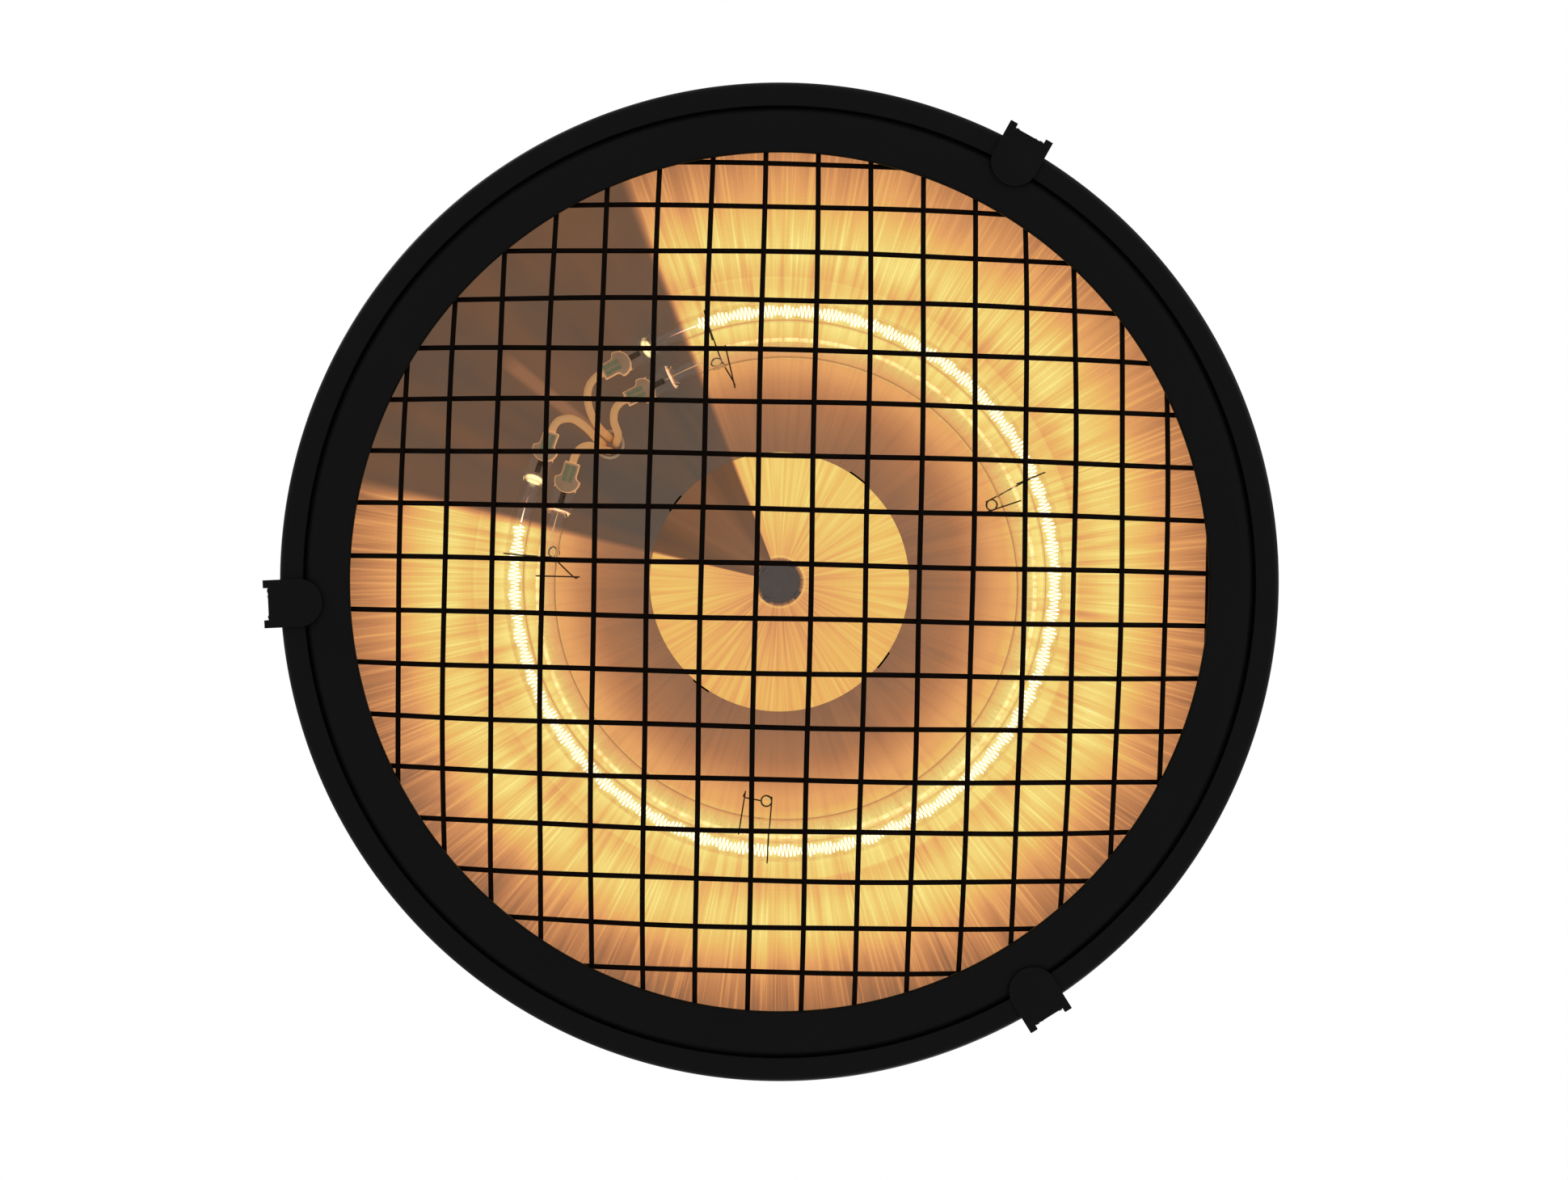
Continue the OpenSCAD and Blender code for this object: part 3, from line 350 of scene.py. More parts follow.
def towards(g: Graph, way: bpy.types.Node, degrees: float) -> bpy.types.NodeSocket:
    """Cosine of the angle between a place's direction and a given one.

    Args:
        g: Tree to draw in.
        way: Unit vector from the axis to the place.
        degrees: The given direction.

    Returns:
        Socket of the cosine.
    """
    there = (*heading(degrees), 0.0)
    return g.add("VectorMath", {0: way, 1: there}, operation="DOT_PRODUCT").outputs["Value"]


@dataclass(frozen=True)
class Rays:
    """One set of painted rays of light that run out from the axis."""

    count: float  # rays in one radian
    noise: tuple[float, float]  # noise values between which a ray goes from one side to the other
    sides: tuple[float, float]  # share of the strength at those two values
    strength: tuple[tuple[float, float], ...]  # radius in mm, strength there
    drift: float = 0.02  # how fast they change along the radius, per mm


@dataclass(frozen=True)
class LampLit(Finish):
    """Spun aluminium with the lamp's reflection painted in: radial rays of light, and a dark
    sector.

    The painted light stands for the coil reflected turn by turn, so it falls in rays from the
    axis. Where the lamp's ring is open there is nothing to reflect, and painted shade keeps the
    sheet dark. All of it goes in as emission.
    """

    profile: tuple[tuple[float, float], ...] = ()  # radius in mm, strength of the painted light
    rays: tuple[Rays, ...] = ()
    dark: float = 0.31  # painted light left in the sector of painted shade
    dark_rise: tuple[float, float, float] = (78.0, 138.0, 0.013)  # from and to this radius, size
    dark_middle: float = 0.0  # extra painted light in the middle of the sector
    streak: float = 0.0  # strength of the painted warm streak of reflection in the sector
    # Painted light that leans one way
    tilt: tuple[float, float, float] = (165.0, 187.0, 0.05)  # from and to this radius, and size
    reach: float = 230.0  # largest radius of the profile
    halo: float = 0.0  # painted glare next to the lamp
    # Slots painted black, as painted shade in place of cut-outs
    slit: tuple[float, float, float] = (0.0, 0.0, 0.0)  # slots: from and to this radius, half width
    colour: str = "#4c3f36"  # aluminium darkened by painted shade, as it looks beside the glare
    gap: tuple[float, float] = (193.1, 249.2)  # directions between which shade is painted, degrees
    bright_way: float = 279.0  # direction that the painted light leans to, degrees
    streak_way: float = 219.0  # direction of the painted warm streak
    lamp_ring: tuple[float, float, float] = (127.0, 2.4, -0.3)  # painted image's radius and centre
    # Radius and centre of the painted faint second image of the lamp
    ghost_ring: tuple[float, float, float] = (142.0, -1.6, -1.35)

    def with_rays(
        self, g: Graph, light: bpy.types.Node, way: bpy.types.Node, radius: bpy.types.NodeSocket
    ) -> bpy.types.Node:
        """Add the painted rays to the painted light.

        Each set is noise on a cylinder whose radius is the number of rays in a radian. The
        place along the cylinder follows the radius slowly, so a ray is a few centimetres long.

        Args:
            g: Tree to draw in.
            light: Strength of the light.
            way: Unit vector from the axis to the place.
            radius: Distance from the axis, mm.

        Returns:
            Node of the new strength.
        """
        share = g.add("Math", {0: radius, 1: self.reach}, operation="DIVIDE")
        for rays in self.rays:
            along = g.add("Math", {0: radius, 1: rays.drift}, operation="MULTIPLY")
            lift = g.add("CombineXYZ", {"Z": along})
            values = {0: way, 1: (rays.count,) * 3, 2: lift}
            spot = g.add("VectorMath", values, operation="MULTIPLY_ADD")
            noise = g.add("TexNoise", {"Vector": spot, "Scale": 1.0, "Detail": 1.0})
            span = dict(enumerate((*rays.noise, *rays.sides), 1))
            change = g.add("MapRange", {0: noise} | span)
            stops = [(r / self.reach, (v, v, v)) for r, v in rays.strength]
            size = g.add("ValToRGB", {0: share}, stops=stops)
            light = g.add("Math", {0: change, 1: size, 2: light}, operation="MULTIPLY_ADD")
        return light

    def beside_lamp(self, g: Graph, light: bpy.types.Node, flat: bpy.types.Node) -> bpy.types.Node:
        """Add painted glare beside the lamp and the painted faint edge of its second mirror image.

        Args:
            g: Tree to draw in.
            light: Strength of the light.
            flat: Place in the plane, mm.

        Returns:
            Node of the new strength.
        """
        near = g.add("Math", {0: off_ring(g, flat, self.lamp_ring)}, operation="ABSOLUTE")
        values = {0: near, 1: 2.0, 2: 15.0, 3: self.halo, 4: 0.0}
        glow = g.add("MapRange", values, interpolation_type="SMOOTHSTEP")
        light = g.add("Math", {0: light, 1: glow}, operation="ADD")
        ghost = off_ring(g, flat, self.ghost_ring)
        rise = g.add("MapRange", {0: ghost, 1: -5.0, 2: -0.3, 3: 0.0, 4: 0.06})
        drop = g.add("MapRange", {0: ghost, 1: -0.3, 2: 0.4, 3: 1.0, 4: 0.0})
        return g.add("Math", {0: rise, 1: drop, 2: light}, operation="MULTIPLY_ADD")

    def in_gap(
        self, g: Graph, light: bpy.types.Node, way: bpy.types.Node, radius: bpy.types.NodeSocket
    ) -> bpy.types.Node:
        """Paint shade and a warm streak where the lamp's ring is open. Its mask is a cosine.

        Args:
            g: Tree to draw in.
            light: Strength of the light.
            way: Unit vector from the axis to the place.
            radius: Distance from the axis, mm.

        Returns:
            Node of the new strength.
        """
        facing = towards(g, way, sum(self.gap) / 2)
        half, soft = (self.gap[1] - self.gap[0]) / 2, 1.2
        edges = [math.cos(math.radians(half + s)) for s in (soft, -soft)]
        values = {0: facing, 1: edges[0], 2: edges[1], 3: 0.0, 4: 1.0}
        shade = g.add("MapRange", values, interpolation_type="SMOOTHSTEP")
        # Painted shade, a little lighter further out, and varied by noise
        along = g.add("Math", {0: radius, 1: 0.012}, operation="MULTIPLY")
        lift = g.add("CombineXYZ", {"Z": along})
        spot = g.add("VectorMath", {0: way, 1: (6.5,) * 3, 2: lift}, operation="MULTIPLY_ADD")
        painted_shade_noise = g.add("TexNoise", {"Vector": spot, "Scale": 1.0, "Detail": 2.0})
        start, end, size = self.dark_rise
        level = g.add("MapRange", {0: radius, 1: start, 2: end, 3: self.dark, 4: self.dark + size})
        gloom = g.add("MapRange", {0: painted_shade_noise, 1: 0.3, 2: 0.7, 3: -0.01, 4: 0.014})
        gloom = g.add("Math", {0: gloom, 1: level}, operation="ADD")
        # Painted light in the sector's middle, and a painted warm streak of reflection
        middle = g.add("MapRange", {0: facing, 1: 0.955, 2: 0.985, 3: 0.0, 4: self.dark_middle})
        gloom = g.add("Math", {0: gloom, 1: middle}, operation="ADD")
        thin = towards(g, way, self.streak_way)
        band = g.add("MapRange", {0: thin, 1: 0.99965, 2: 0.99994, 3: 0.0, 4: self.streak})
        stops = [(r / self.reach, (v, v, v)) for r, v in ((102, 0), (110, 1), (158, 1), (168, 0))]
        share = g.add("Math", {0: radius, 1: self.reach}, operation="DIVIDE")
        window = g.add("ValToRGB", {0: share}, stops=stops)
        gloom = g.add("Math", {0: band, 1: window, 2: gloom}, operation="MULTIPLY_ADD")
        return g.add("Mix", {0: shade, 2: light, 3: gloom}, data_type="FLOAT")

    def outside_slots(
        self, g: Graph, way: bpy.types.Node, radius: bpy.types.NodeSocket
    ) -> bpy.types.Node:
        """Mask that is 0 in the four slots for the cone's tabs and 1 elsewhere: it paints the slots
        black as painted shade, since they are not cut.

        Args:
            g: Tree to draw in.
            way: Unit vector from the axis to the place.
            radius: Distance from the axis, mm.

        Returns:
            Node of the mask.
        """
        start, end, half = self.slit
        pair = [towards(g, way, degrees) for degrees in TAB_ANGLES[:2]]
        pair = [g.add("Math", {0: cosine}, operation="ABSOLUTE") for cosine in pair]
        facing = g.add("Math", dict(enumerate(pair)), operation="MAXIMUM")
        inside = g.add("Math", {0: facing, 1: math.cos(half / start)}, operation="GREATER_THAN")
        middle, reach = (start + end) / 2, (end - start) / 2
        inside_r = g.add("Math", {0: radius, 1: middle, 2: reach}, operation="COMPARE")
        slot = g.add("Math", {0: inside, 1: inside_r}, operation="MULTIPLY")
        return g.add("Math", {0: 1.0, 1: slot}, operation="SUBTRACT")

    def build(self, g: Graph) -> bpy.types.Node:
        """Draw the shader.

        Args:
            g: Empty tree to draw in.

        Returns:
            The surface shader.
        """
        flat = g.plane()
        radius = g.add("VectorMath", {0: flat}, operation="LENGTH").outputs["Value"]
        way = g.add("VectorMath", {0: flat}, operation="NORMALIZE")

        # Painted light by radius, with painted rays, glare and lean, and painted shade in the gap
        stops = [(r / self.reach, (s, s, s)) for r, s in self.profile]
        share = g.add("Math", {0: radius, 1: self.reach}, operation="DIVIDE")
        light = self.with_rays(g, g.add("ValToRGB", {0: share}, stops=stops), way, radius)
        if self.halo:
            light = self.beside_lamp(g, light, flat)
        start, end, size = self.tilt
        outward = g.add("MapRange", {0: radius, 1: start, 2: end, 3: 0.0, 4: size})
        lean = towards(g, way, self.bright_way)
        light = g.add("Math", {0: lean, 1: outward, 2: light}, operation="MULTIPLY_ADD")
        light = self.in_gap(g, light, way, radius)

        # Painted light's colours; tool lines of the spinning lathe, about half a millimetre apart
        glow = g.add("ValToRGB", {0: light}, stops=painted_reflection_stops(AMBIENT))
        lines = g.add("TexNoise", {"W": radius, "Scale": 2.2, "Detail": 2.0}, noise_dimensions="1D")
        shine = g.add("MapRange", {0: lines, 1: 0.3, 2: 0.7, 3: 0.975, 4: 1.025})
        bump = g.add("Bump", {"Height": lines, "Strength": 0.08, "Distance": 0.0002})
        metal: object = (*linear(self.colour), 1)
        # Slots painted black: painted shade where the cone's tabs pass
        if self.slit[1]:
            sheet = self.outside_slots(g, way, radius)
            metal = g.add("VectorMath", {0: linear(self.colour), 1: sheet}, operation="MULTIPLY")
            shine = g.add("Math", {0: shine, 1: sheet}, operation="MULTIPLY")
        glow = g.add("VectorMath", {0: glow, 1: shine}, operation="MULTIPLY")
        # The painted light goes in as emission
        values = {"Base Color": metal, "Metallic": 1.0, "Roughness": 0.42}
        values |= {"Normal": bump, "Emission Color": glow, "Emission Strength": 1.0}
        return g.add("BsdfPrincipled", values)


@dataclass(frozen=True)
class Quartz(Finish):
    """Clear fused quartz tube: colourless, with painted lamp light in its wall and shoulders."""

    glint: str = "#fff0b0"  # painted glint in the shoulders, where the attribute glint is 1
    caught: tuple[float, float, float] = (0.0, 0.0, 0.0)  # painted line's radius and centre, mm
    # Strength of the painted line of light
    strength: float = 0.0
    gap_way: float = 221.15  # direction of the lamp's opening, degrees
    ior: float = 1.25  # under the real 1.46, because the studio is brighter than a real one

    def build(self, g: Graph) -> bpy.types.Node:
        """Draw the shader.

        Args:
            g: Empty tree to draw in.

        Returns:
            The surface shader.
        """
        flat = g.plane()
        near = g.add("Math", {0: off_ring(g, flat, self.caught)}, operation="ABSOLUTE")
        line = g.add("MapRange", {0: near, 1: 0.15, 2: 0.4, 3: self.strength, 4: 0.0})
        # The painted line is broken into dashes of about 3 mm and fades before the lamp's opening
        way = g.add("VectorMath", {0: flat}, operation="NORMALIZE")
        spot = g.add("VectorMath", {0: way, 1: (38.0,) * 3}, operation="MULTIPLY")
        dash = g.add("TexNoise", {"Vector": spot, "Scale": 1.0, "Detail": 1.0})
        dash = g.add("MapRange", {0: dash, 1: 0.42, 2: 0.56, 3: 0.15, 4: 1.0})
        facing = towards(g, way, self.gap_way)
        clear = g.add("MapRange", {0: facing, 1: 0.75, 2: 0.85, 3: 1.0, 4: 0.0})
        line = g.add("Math", {0: line, 1: dash}, operation="MULTIPLY")
        line = g.add("Math", {0: line, 1: clear}, operation="MULTIPLY")
        # Painted glints in the shoulders, where the attribute glint is 1
        glint = g.add("Attribute", attribute_name="glint").outputs["Fac"]
        light = g.add("Math", {0: line, 1: glint}, operation="ADD")
        glow = g.add("VectorMath", {0: linear(self.glint), 1: light}, operation="MULTIPLY")
        values = {"Base Color": (0.98, 0.98, 0.97, 1), "Transmission Weight": 1.0}
        values |= {"Roughness": 0.0, "IOR": self.ior}
        return g.add("BsdfPrincipled", values | {"Emission Color": glow, "Emission Strength": 1.0})


@dataclass(frozen=True)
class Tungsten(Finish):
    """Drawn tungsten wire: white-hot where it glows, grey-brown where it is cold."""

    stops: tuple[tuple[float, tuple[float, float, float]], ...] = ()
    strength: float = 1.6
    colour: str = "#6e5543"

    def build(self, g: Graph) -> bpy.types.Node:
        """Draw the shader. The attribute hot runs from 0, cold, to 1, white-hot.

        Args:
            g: Empty tree to draw in.

        Returns:
            The surface shader.
        """
        hot = g.add("Attribute", attribute_name="hot").outputs["Fac"]
        place = g.add("TexCoord").outputs["Object"]
        grain = g.add("TexNoise", {"Vector": place, "Scale": 900.0, "Detail": 1.0})
        rough = g.add("MapRange", {0: grain, 1: 0.3, 2: 0.7, 3: 0.35, 4: 0.55})
        glow = g.add("ValToRGB", {0: hot}, stops=self.stops)
        values = {"Base Color": (*linear(self.colour), 1), "Metallic": 1.0, "Roughness": rough}
        values |= {"Emission Color": glow, "Emission Strength": self.strength}
        return g.add("BsdfPrincipled", values)


@dataclass(frozen=True)
class Steatite(Finish):
    """Glazed steatite ceramic. A lamp cap also has a plain printed patch, and painted lamp light
    on its edges.
    """

    glaze: tuple[str, str] = ("#dcc7a6", "#efe0c4")
    print_colour: str | None = None
    size: tuple[float, float] = (9.6, 4.8)  # mm of the printed patch
    rim: str = "#000000"  # painted lamp light on the edges, where the attribute rim is 1

    def ink(self, g: Graph, speck: bpy.types.Node) -> bpy.types.Node:
        """Draw the printed patch: worn ink inside a rectangle of the UV map, with a pale stripe.

        Args:
            g: Tree to draw in.
            speck: Fine noise that wears the ink.

        Returns:
            Node of the ink's share.
        """
        uv = g.add("UVMap", uv_map="patch")
        off = g.add("VectorMath", {0: uv}, operation="ABSOLUTE")
        parts = g.add("SeparateXYZ", {0: off})
        marks = []
        for axis, limit in enumerate(self.size):
            half, off_centre = limit / 2, parts.outputs[axis]
            values = {0: off_centre, 1: half - 0.3, 2: half + 0.2, 3: 1.0, 4: 0.0}
            marks.append(g.add("MapRange", values))
        inside = g.add("Math", {0: marks[0], 1: marks[1]}, operation="MULTIPLY")
        stripe = g.add("MapRange", {0: parts.outputs[1], 1: 0.35, 2: 0.8, 3: 0.45, 4: 1.0})
        worn = g.add("MapRange", {0: speck, 1: 0.36, 2: 0.5, 3: 0.45, 4: 1.0})
        inside = g.add("Math", {0: inside, 1: stripe}, operation="MULTIPLY")
        return g.add("Math", {0: inside, 1: worn}, operation="MULTIPLY")

    def build(self, g: Graph) -> bpy.types.Node:
        """Draw the shader. The UV map holds millimetres from the patch's middle.

        Args:
            g: Empty tree to draw in.

        Returns:
            The surface shader.
        """
        place = g.add("TexCoord").outputs["Object"]
        speck = g.add("TexNoise", {"Vector": place, "Scale": 1800.0, "Detail": 2.0})
        patch = g.add("TexNoise", {"Vector": place, "Scale": 160.0, "Detail": 2.0})
        stops = [(0.3, linear(self.glaze[0])), (0.7, linear(self.glaze[1]))]
        colour = g.add("ValToRGB", {0: patch}, stops=stops).outputs[0]
        if self.print_colour:
            values = {0: self.ink(g, speck), 6: colour, 7: (*linear(self.print_colour), 1)}
            colour = g.add("Mix", values, data_type="RGBA").outputs[2]
        # Painted lamp light, strongest on the edges
        edge = g.add("Attribute", attribute_name="rim").outputs["Fac"]
        glow = g.add("VectorMath", {0: linear(self.rim), 1: edge}, operation="MULTIPLY")
        bump = g.add("Bump", {"Height": speck, "Strength": 0.06, "Distance": 0.0001})
        values = {"Base Color": colour, "Roughness": 0.38, "Normal": bump}
        return g.add("BsdfPrincipled", values | {"Emission Color": glow, "Emission Strength": 1.0})


@dataclass(frozen=True)
class WovenSleeve(Finish):
    """Varnished glass-fibre sleeve: cream, with a fine diamond braid that follows the lead."""

    thread: float = 0.9  # mm between braid crossings, about twice the real one so that it shows
    lamp_light: str = "#8a6238"  # painted light of the lamps on it, in front of the mirror
    mirror_h: float = 74.0  # height where the mirror shuts that painted light off, mm

    def build(self, g: Graph) -> bpy.types.Node:
        """Draw the shader. Two sets of waves cross on the UV map, which holds millimetres.

        Args:
            g: Empty tree to draw in.

        Returns:
            The surface shader.
        """
        uv = g.add("UVMap", uv_map="along")
        sets = []
        for turn in (45.0, -45.0):
            turned = g.add("Mapping", {"Vector": uv, "Rotation": (0, 0, math.radians(turn))})
            values = {"Vector": turned, "Scale": 0.31 / self.thread, "Distortion": 0.4}
            sets.append(g.add("TexWave", values, bands_direction="X"))
        braid = g.add("Math", {0: sets[0], 1: sets[1]}, operation="MULTIPLY")
        stops = [(0.0, linear("#cfa274")), (0.6, linear("#f0caa2"))]
        colour = g.add("ValToRGB", {0: braid}, stops=stops)
        bump = g.add("Bump", {"Height": braid, "Strength": 0.4, "Distance": 0.0002})
        # Painted lamp light, which stops behind the mirror
        place = g.add("SeparateXYZ", {0: g.add("TexCoord").outputs["Object"]})
        low = (self.mirror_h - HANG_DROP) / 1000
        lit = g.add("MapRange", {0: place.outputs["Z"], 1: low - 0.012, 2: low, 3: 1.0, 4: 0.0})
        glow = g.add("VectorMath", {0: linear(self.lamp_light), 1: lit}, operation="MULTIPLY")
        values = {"Base Color": colour, "Roughness": 0.62, "Normal": bump}
        return g.add("BsdfPrincipled", values | {"Emission Color": glow, "Emission Strength": 1.0})


# Epoxy powder coat, oven-cured: matte black with a faint orange peel that softens highlights.
POWDER = Grained(
    "black epoxy powder coat", "black_powder_coat", colour="#121213", mottle="#0e0e0f", grain=0.9,
    patch=40.0, relief=0.12, roughness=(0.5, 0.62), metallic=0.0, specular=0.1,
)
# The same coat on wire, dipped and thinner, a little warmer all over: painted light of the mirror.
DIPPED = Grained(
    "dipped black wire coat", "black_wire_coat", colour="#1a1310", mottle="#130e0c", grain=0.4,
    patch=8.0, relief=0.15, roughness=(0.6, 0.75), metallic=0.0, specular=0.02,
)
# Glass-filled nylon, moulded with a spark-eroded texture: black with a dull sheen.
NYLON = Grained(
    "glass-filled black nylon", "black_moulded_plastic", colour="#17171a", mottle="#101012",
    grain=0.35, patch=20.0, relief=0.25, roughness=(0.42, 0.6), metallic=0.0, specular=0.4,
)
# Zinc-plated steel, clear passivated: bright and slightly blue, with soft patches.
ZINC = Grained(
    "clear zinc-plated steel", "zinc_plated_steel", colour="#b9bdc4", mottle="#9da2aa", grain=0.3,
    patch=6.0, relief=0.1, roughness=(0.25, 0.42), metallic=1.0,
)
# Drawn stainless spring wire, heat-tinted brown by the lamps.
SPRING = Grained(
    "heat-tinted spring wire", "spring_steel", colour="#57412f", mottle="#3c2d21", grain=0.2,
    patch=3.0, relief=0.1, roughness=(0.3, 0.45), metallic=1.0,
)
# Oxidised sheet steel: brown-grey with a satin face.
OXIDISED = Grained(
    "oxidised sheet steel", "dark_steel_cap", colour="#786c66", mottle="#6a5f5a", grain=0.5,
    patch=5.0, relief=0.08, roughness=(0.4, 0.55), metallic=0.6,
)
# Steel tube of the posts, shiny, with the lamps' light painted in: pale yellow, and a yellow glow.
POST = Grained(
    "lamp-lit steel tube", "zinc_plated_steel", colour="#c9b68c", mottle="#b09b70", grain=0.3,
    patch=2.0, relief=0.1, roughness=(0.25, 0.4), metallic=1.0, lamp_light="#a8854a",
)
# Ceramic-fibre sheet, pressed: chalky white fibres.
FIBRE = Grained(
    "pressed ceramic fibre", "ceramic_fibre_gasket", colour="#cfc8bb", mottle="#b5ad9f", grain=0.5,
    patch=5.0, relief=0.5, roughness=(0.85, 0.95), metallic=0.0, specular=0.2,
)
# Nitrile rubber, moulded: black and dull.
RUBBER = Grained(
    "moulded nitrile rubber", "black_rubber", colour="#161616", mottle="#101010", grain=0.3,
    patch=10.0, relief=0.2, roughness=(0.6, 0.75), metallic=0.0, specular=0.3,
)
# Silicone rubber: red-brown, waxy.
SILICONE = Grained(
    "red-brown silicone rubber", "silicone_rubber", colour="#6a3f2c", mottle="#5a3424", grain=0.4,
    patch=10.0, relief=0.15, roughness=(0.5, 0.65), metallic=0.0, specular=0.4,
)
# Phenolic and nylon mouldings of the switch and cut-out: ivory, slightly glossy.
MOULDING = Grained(
    "ivory phenolic moulding", "switch_plastic", colour="#cfc7b3", mottle="#bfb6a0", grain=0.4,
    patch=12.0, relief=0.1, roughness=(0.35, 0.5), metallic=0.0, specular=0.5,
)
# Turned brass of the terminal screws: yellow, lightly tarnished.
BRASS = Grained(
    "turned brass", "brass", colour="#c9a04e", mottle="#a98238", grain=0.25, patch=4.0, relief=0.1,
    roughness=(0.28, 0.45), metallic=1.0,
)
SPUN_PLAIN = Spun("spun aluminium sheet", "spun_aluminium")
CERAMIC = Steatite("glazed steatite", "glazed_ceramic")
# The cap's glaze is darker and warmer than the plain one: painted shade and painted lamp light
CAP = Steatite(
    "lamp-lit glazed steatite", "glazed_ceramic", glaze=("#a9876a", "#b8967a"),
    print_colour="#3b7a57", size=(8.0, 5.0), rim="#c8925f",
)
SLEEVE = WovenSleeve("varnished glass-fibre sleeve", "glass_fibre_sleeve")
# Dish with the lamp's reflection painted in: painted light, rays and glare, and painted shade
MIRROR = LampLit(
    "lamp-lit spun aluminium dish", "spun_aluminium",
    profile=(
        (0, 0.40), (62, 0.395), (68, 0.405), (76, 0.43), (84, 0.45), (88, 0.475), (95, 0.54),
        (99, 0.59), (103, 0.63), (107, 0.645), (110, 0.70), (114, 0.75), (118, 0.80), (127, 0.86),
        (133, 0.80), (137, 0.775), (142, 0.71), (148, 0.76), (152, 0.81), (157, 0.83), (161, 0.82),
        (165, 0.795), (170, 0.75), (174, 0.70), (178, 0.64), (182, 0.60), (187, 0.56), (191, 0.53),
        (198, 0.48), (216, 0.40),
    ),
    rays=(
        # Painted crisp thin lines in the outer part, where the coil's turns are mirrored one by one
        Rays(
            count=150.0, noise=(0.5, 0.72), sides=(-0.3, 1.0),
            strength=((0, 0.006), (95, 0.008), (125, 0.025), (150, 0.08), (216, 0.075)),
        ),
        # Painted reddish darker streaks, one or two degrees wide
        Rays(
            count=42.0, noise=(0.45, 0.7), sides=(0.35, -1.0),
            strength=(
                (0, 0.01), (100, 0.015), (122, 0.075), (150, 0.1), (165, 0.045), (216, 0.035),
            ),
        ),
        # Broad soft fans of painted light
        Rays(
            count=6.0, noise=(0.3, 0.7), sides=(-1.0, 1.0),
            strength=((0, 0.008), (100, 0.012), (130, 0.025), (216, 0.03)), drift=0.012,
        ),
    ),
    streak=0.07,
    halo=0.04,
    slit=(60.8, 61.8, 4.5),
    dark=0.306,
)
# Centre cone, painted the same way: painted light and rays, and painted shade with a lighter middle
CONE = LampLit(
    "lamp-lit spun aluminium cone", "spun_aluminium",
    profile=(
        (0, 0.30), (10.6, 0.34), (11.4, 0.80), (12.4, 0.64), (18, 0.655), (25, 0.69), (36, 0.735),
        (52, 0.75), (61, 0.74),
    ),
    rays=(
        Rays(
            count=26.0, noise=(0.3, 0.7), sides=(-1.0, 1.0),
            strength=((0, 0.03), (11, 0.055), (61, 0.06)),
        ),
        Rays(
            count=70.0, noise=(0.3, 0.7), sides=(-1.0, 1.0),
            strength=((0, 0.02), (11, 0.05), (40, 0.025), (61, 0.02)),
        ),
    ),
    dark=0.325,
    dark_middle=0.04,
    tilt=(4.0, 14.0, 0.05),
)
# Both lamps' glass has painted glints in its shoulders, the unlit inner one also a painted line
OUTER_GLASS = Quartz("fused quartz tube", "quartz_glass", glint="#ffdf9a")
INNER_GLASS = Quartz(
    "fused quartz tube with a caught line of light", "quartz_glass", glint="#f2b48c",
    caught=(115.0, 3.1, 3.0), strength=0.5,
)
HOT_COIL = Tungsten(
    "white-hot tungsten coil", "glowing_tungsten",
    stops=(
        (0.0, (0.02, 0.008, 0.004)), (0.35, (0.62, 0.24, 0.14)), (0.9, (1.0, 0.86, 0.58)),
        (1.0, (1.0, 0.9, 0.68)),
    ),
)
# The cold coil glows a steady orange: painted light of the lit lamp on it
COLD_COIL = Tungsten(
    "cold tungsten coil", "tungsten",
    stops=((0.0, (0.66, 0.36, 0.14)), (1.0, (0.66, 0.36, 0.14))),
    strength=1.0,
    colour="#33200f",
)


# ---------------------------------------------------------------- surfaces


def to_frame(points: np.ndarray) -> np.ndarray:
    """Turn x, y, h in millimetres into the frame's metres: z is h less the hanging drop.

    Args:
        points: Array whose last axis holds x, y and h.

    Returns:
        Array of the same shape in metres.
    """
    return (np.asarray(points, float) - (0.0, 0.0, HANG_DROP)) / 1000.0


def rounded(
    path: Sequence[Sequence[float]], radius: float, steps: int = 5, closed: bool = True
) -> np.ndarray:
    """Round the corners of a path.

    Each corner becomes a parabola from a point before it to a point after it. Those points lie
    the radius away, or 0.45 of the way to the next corner where that is nearer.

    Args:
        path: Corners, mm.
        radius: Distance at which the rounding starts.
        steps: Points on each corner.
        closed: Whether the last corner joins the first.

    Returns:
        The rounded path.
    """
    corner = np.asarray(path, float)
    before, after = np.roll(corner, 1, axis=0), np.roll(corner, -1, axis=0)
    share = np.linspace(0.0, 1.0, steps)[None, :, None]
    ends = []
    for other in (before, after):
        length = np.linalg.norm(other - corner, axis=1, keepdims=True)
        ends.append(corner + (other - corner) * np.minimum(radius / np.maximum(length, 1e-9), 0.45))
    start, stop = ends[0][:, None], ends[1][:, None]
    curve = (1 - share) ** 2 * start + 2 * share * (1 - share) * corner[:, None] + share**2 * stop
    if not closed:
        inner = curve[1:-1].reshape(-1, corner.shape[1])
        return np.vstack([corner[:1], inner, corner[-1:]])
    return curve.reshape(-1, corner.shape[1])


def sheet_outline(path: Sequence[Sequence[float]], thickness: float) -> np.ndarray:
    """Give a path the thickness of its sheet, on its left side.

    Every point moves along the mean of the two normals beside it, lengthened by one over the
    cosine of half the bend, so that the wall keeps its thickness.

    Args:
        path: Radius and height, mm.
        thickness: Thickness of the sheet.

    Returns:
        Closed outline, turning left.
    """
    points = np.asarray(path, float)
    step = np.diff(points, axis=0)
    step /= np.linalg.norm(step, axis=1, keepdims=True)
    normal = np.column_stack([-step[:, 1], step[:, 0]])
    before = np.vstack([normal[:1], normal])
    after = np.vstack([normal, normal[-1:]])
    mean = before + after
    mean /= np.linalg.norm(mean, axis=1, keepdims=True)
    mean /= np.sum(mean * after, axis=1, keepdims=True)
    return np.vstack([points, (points + thickness * mean)[::-1]])


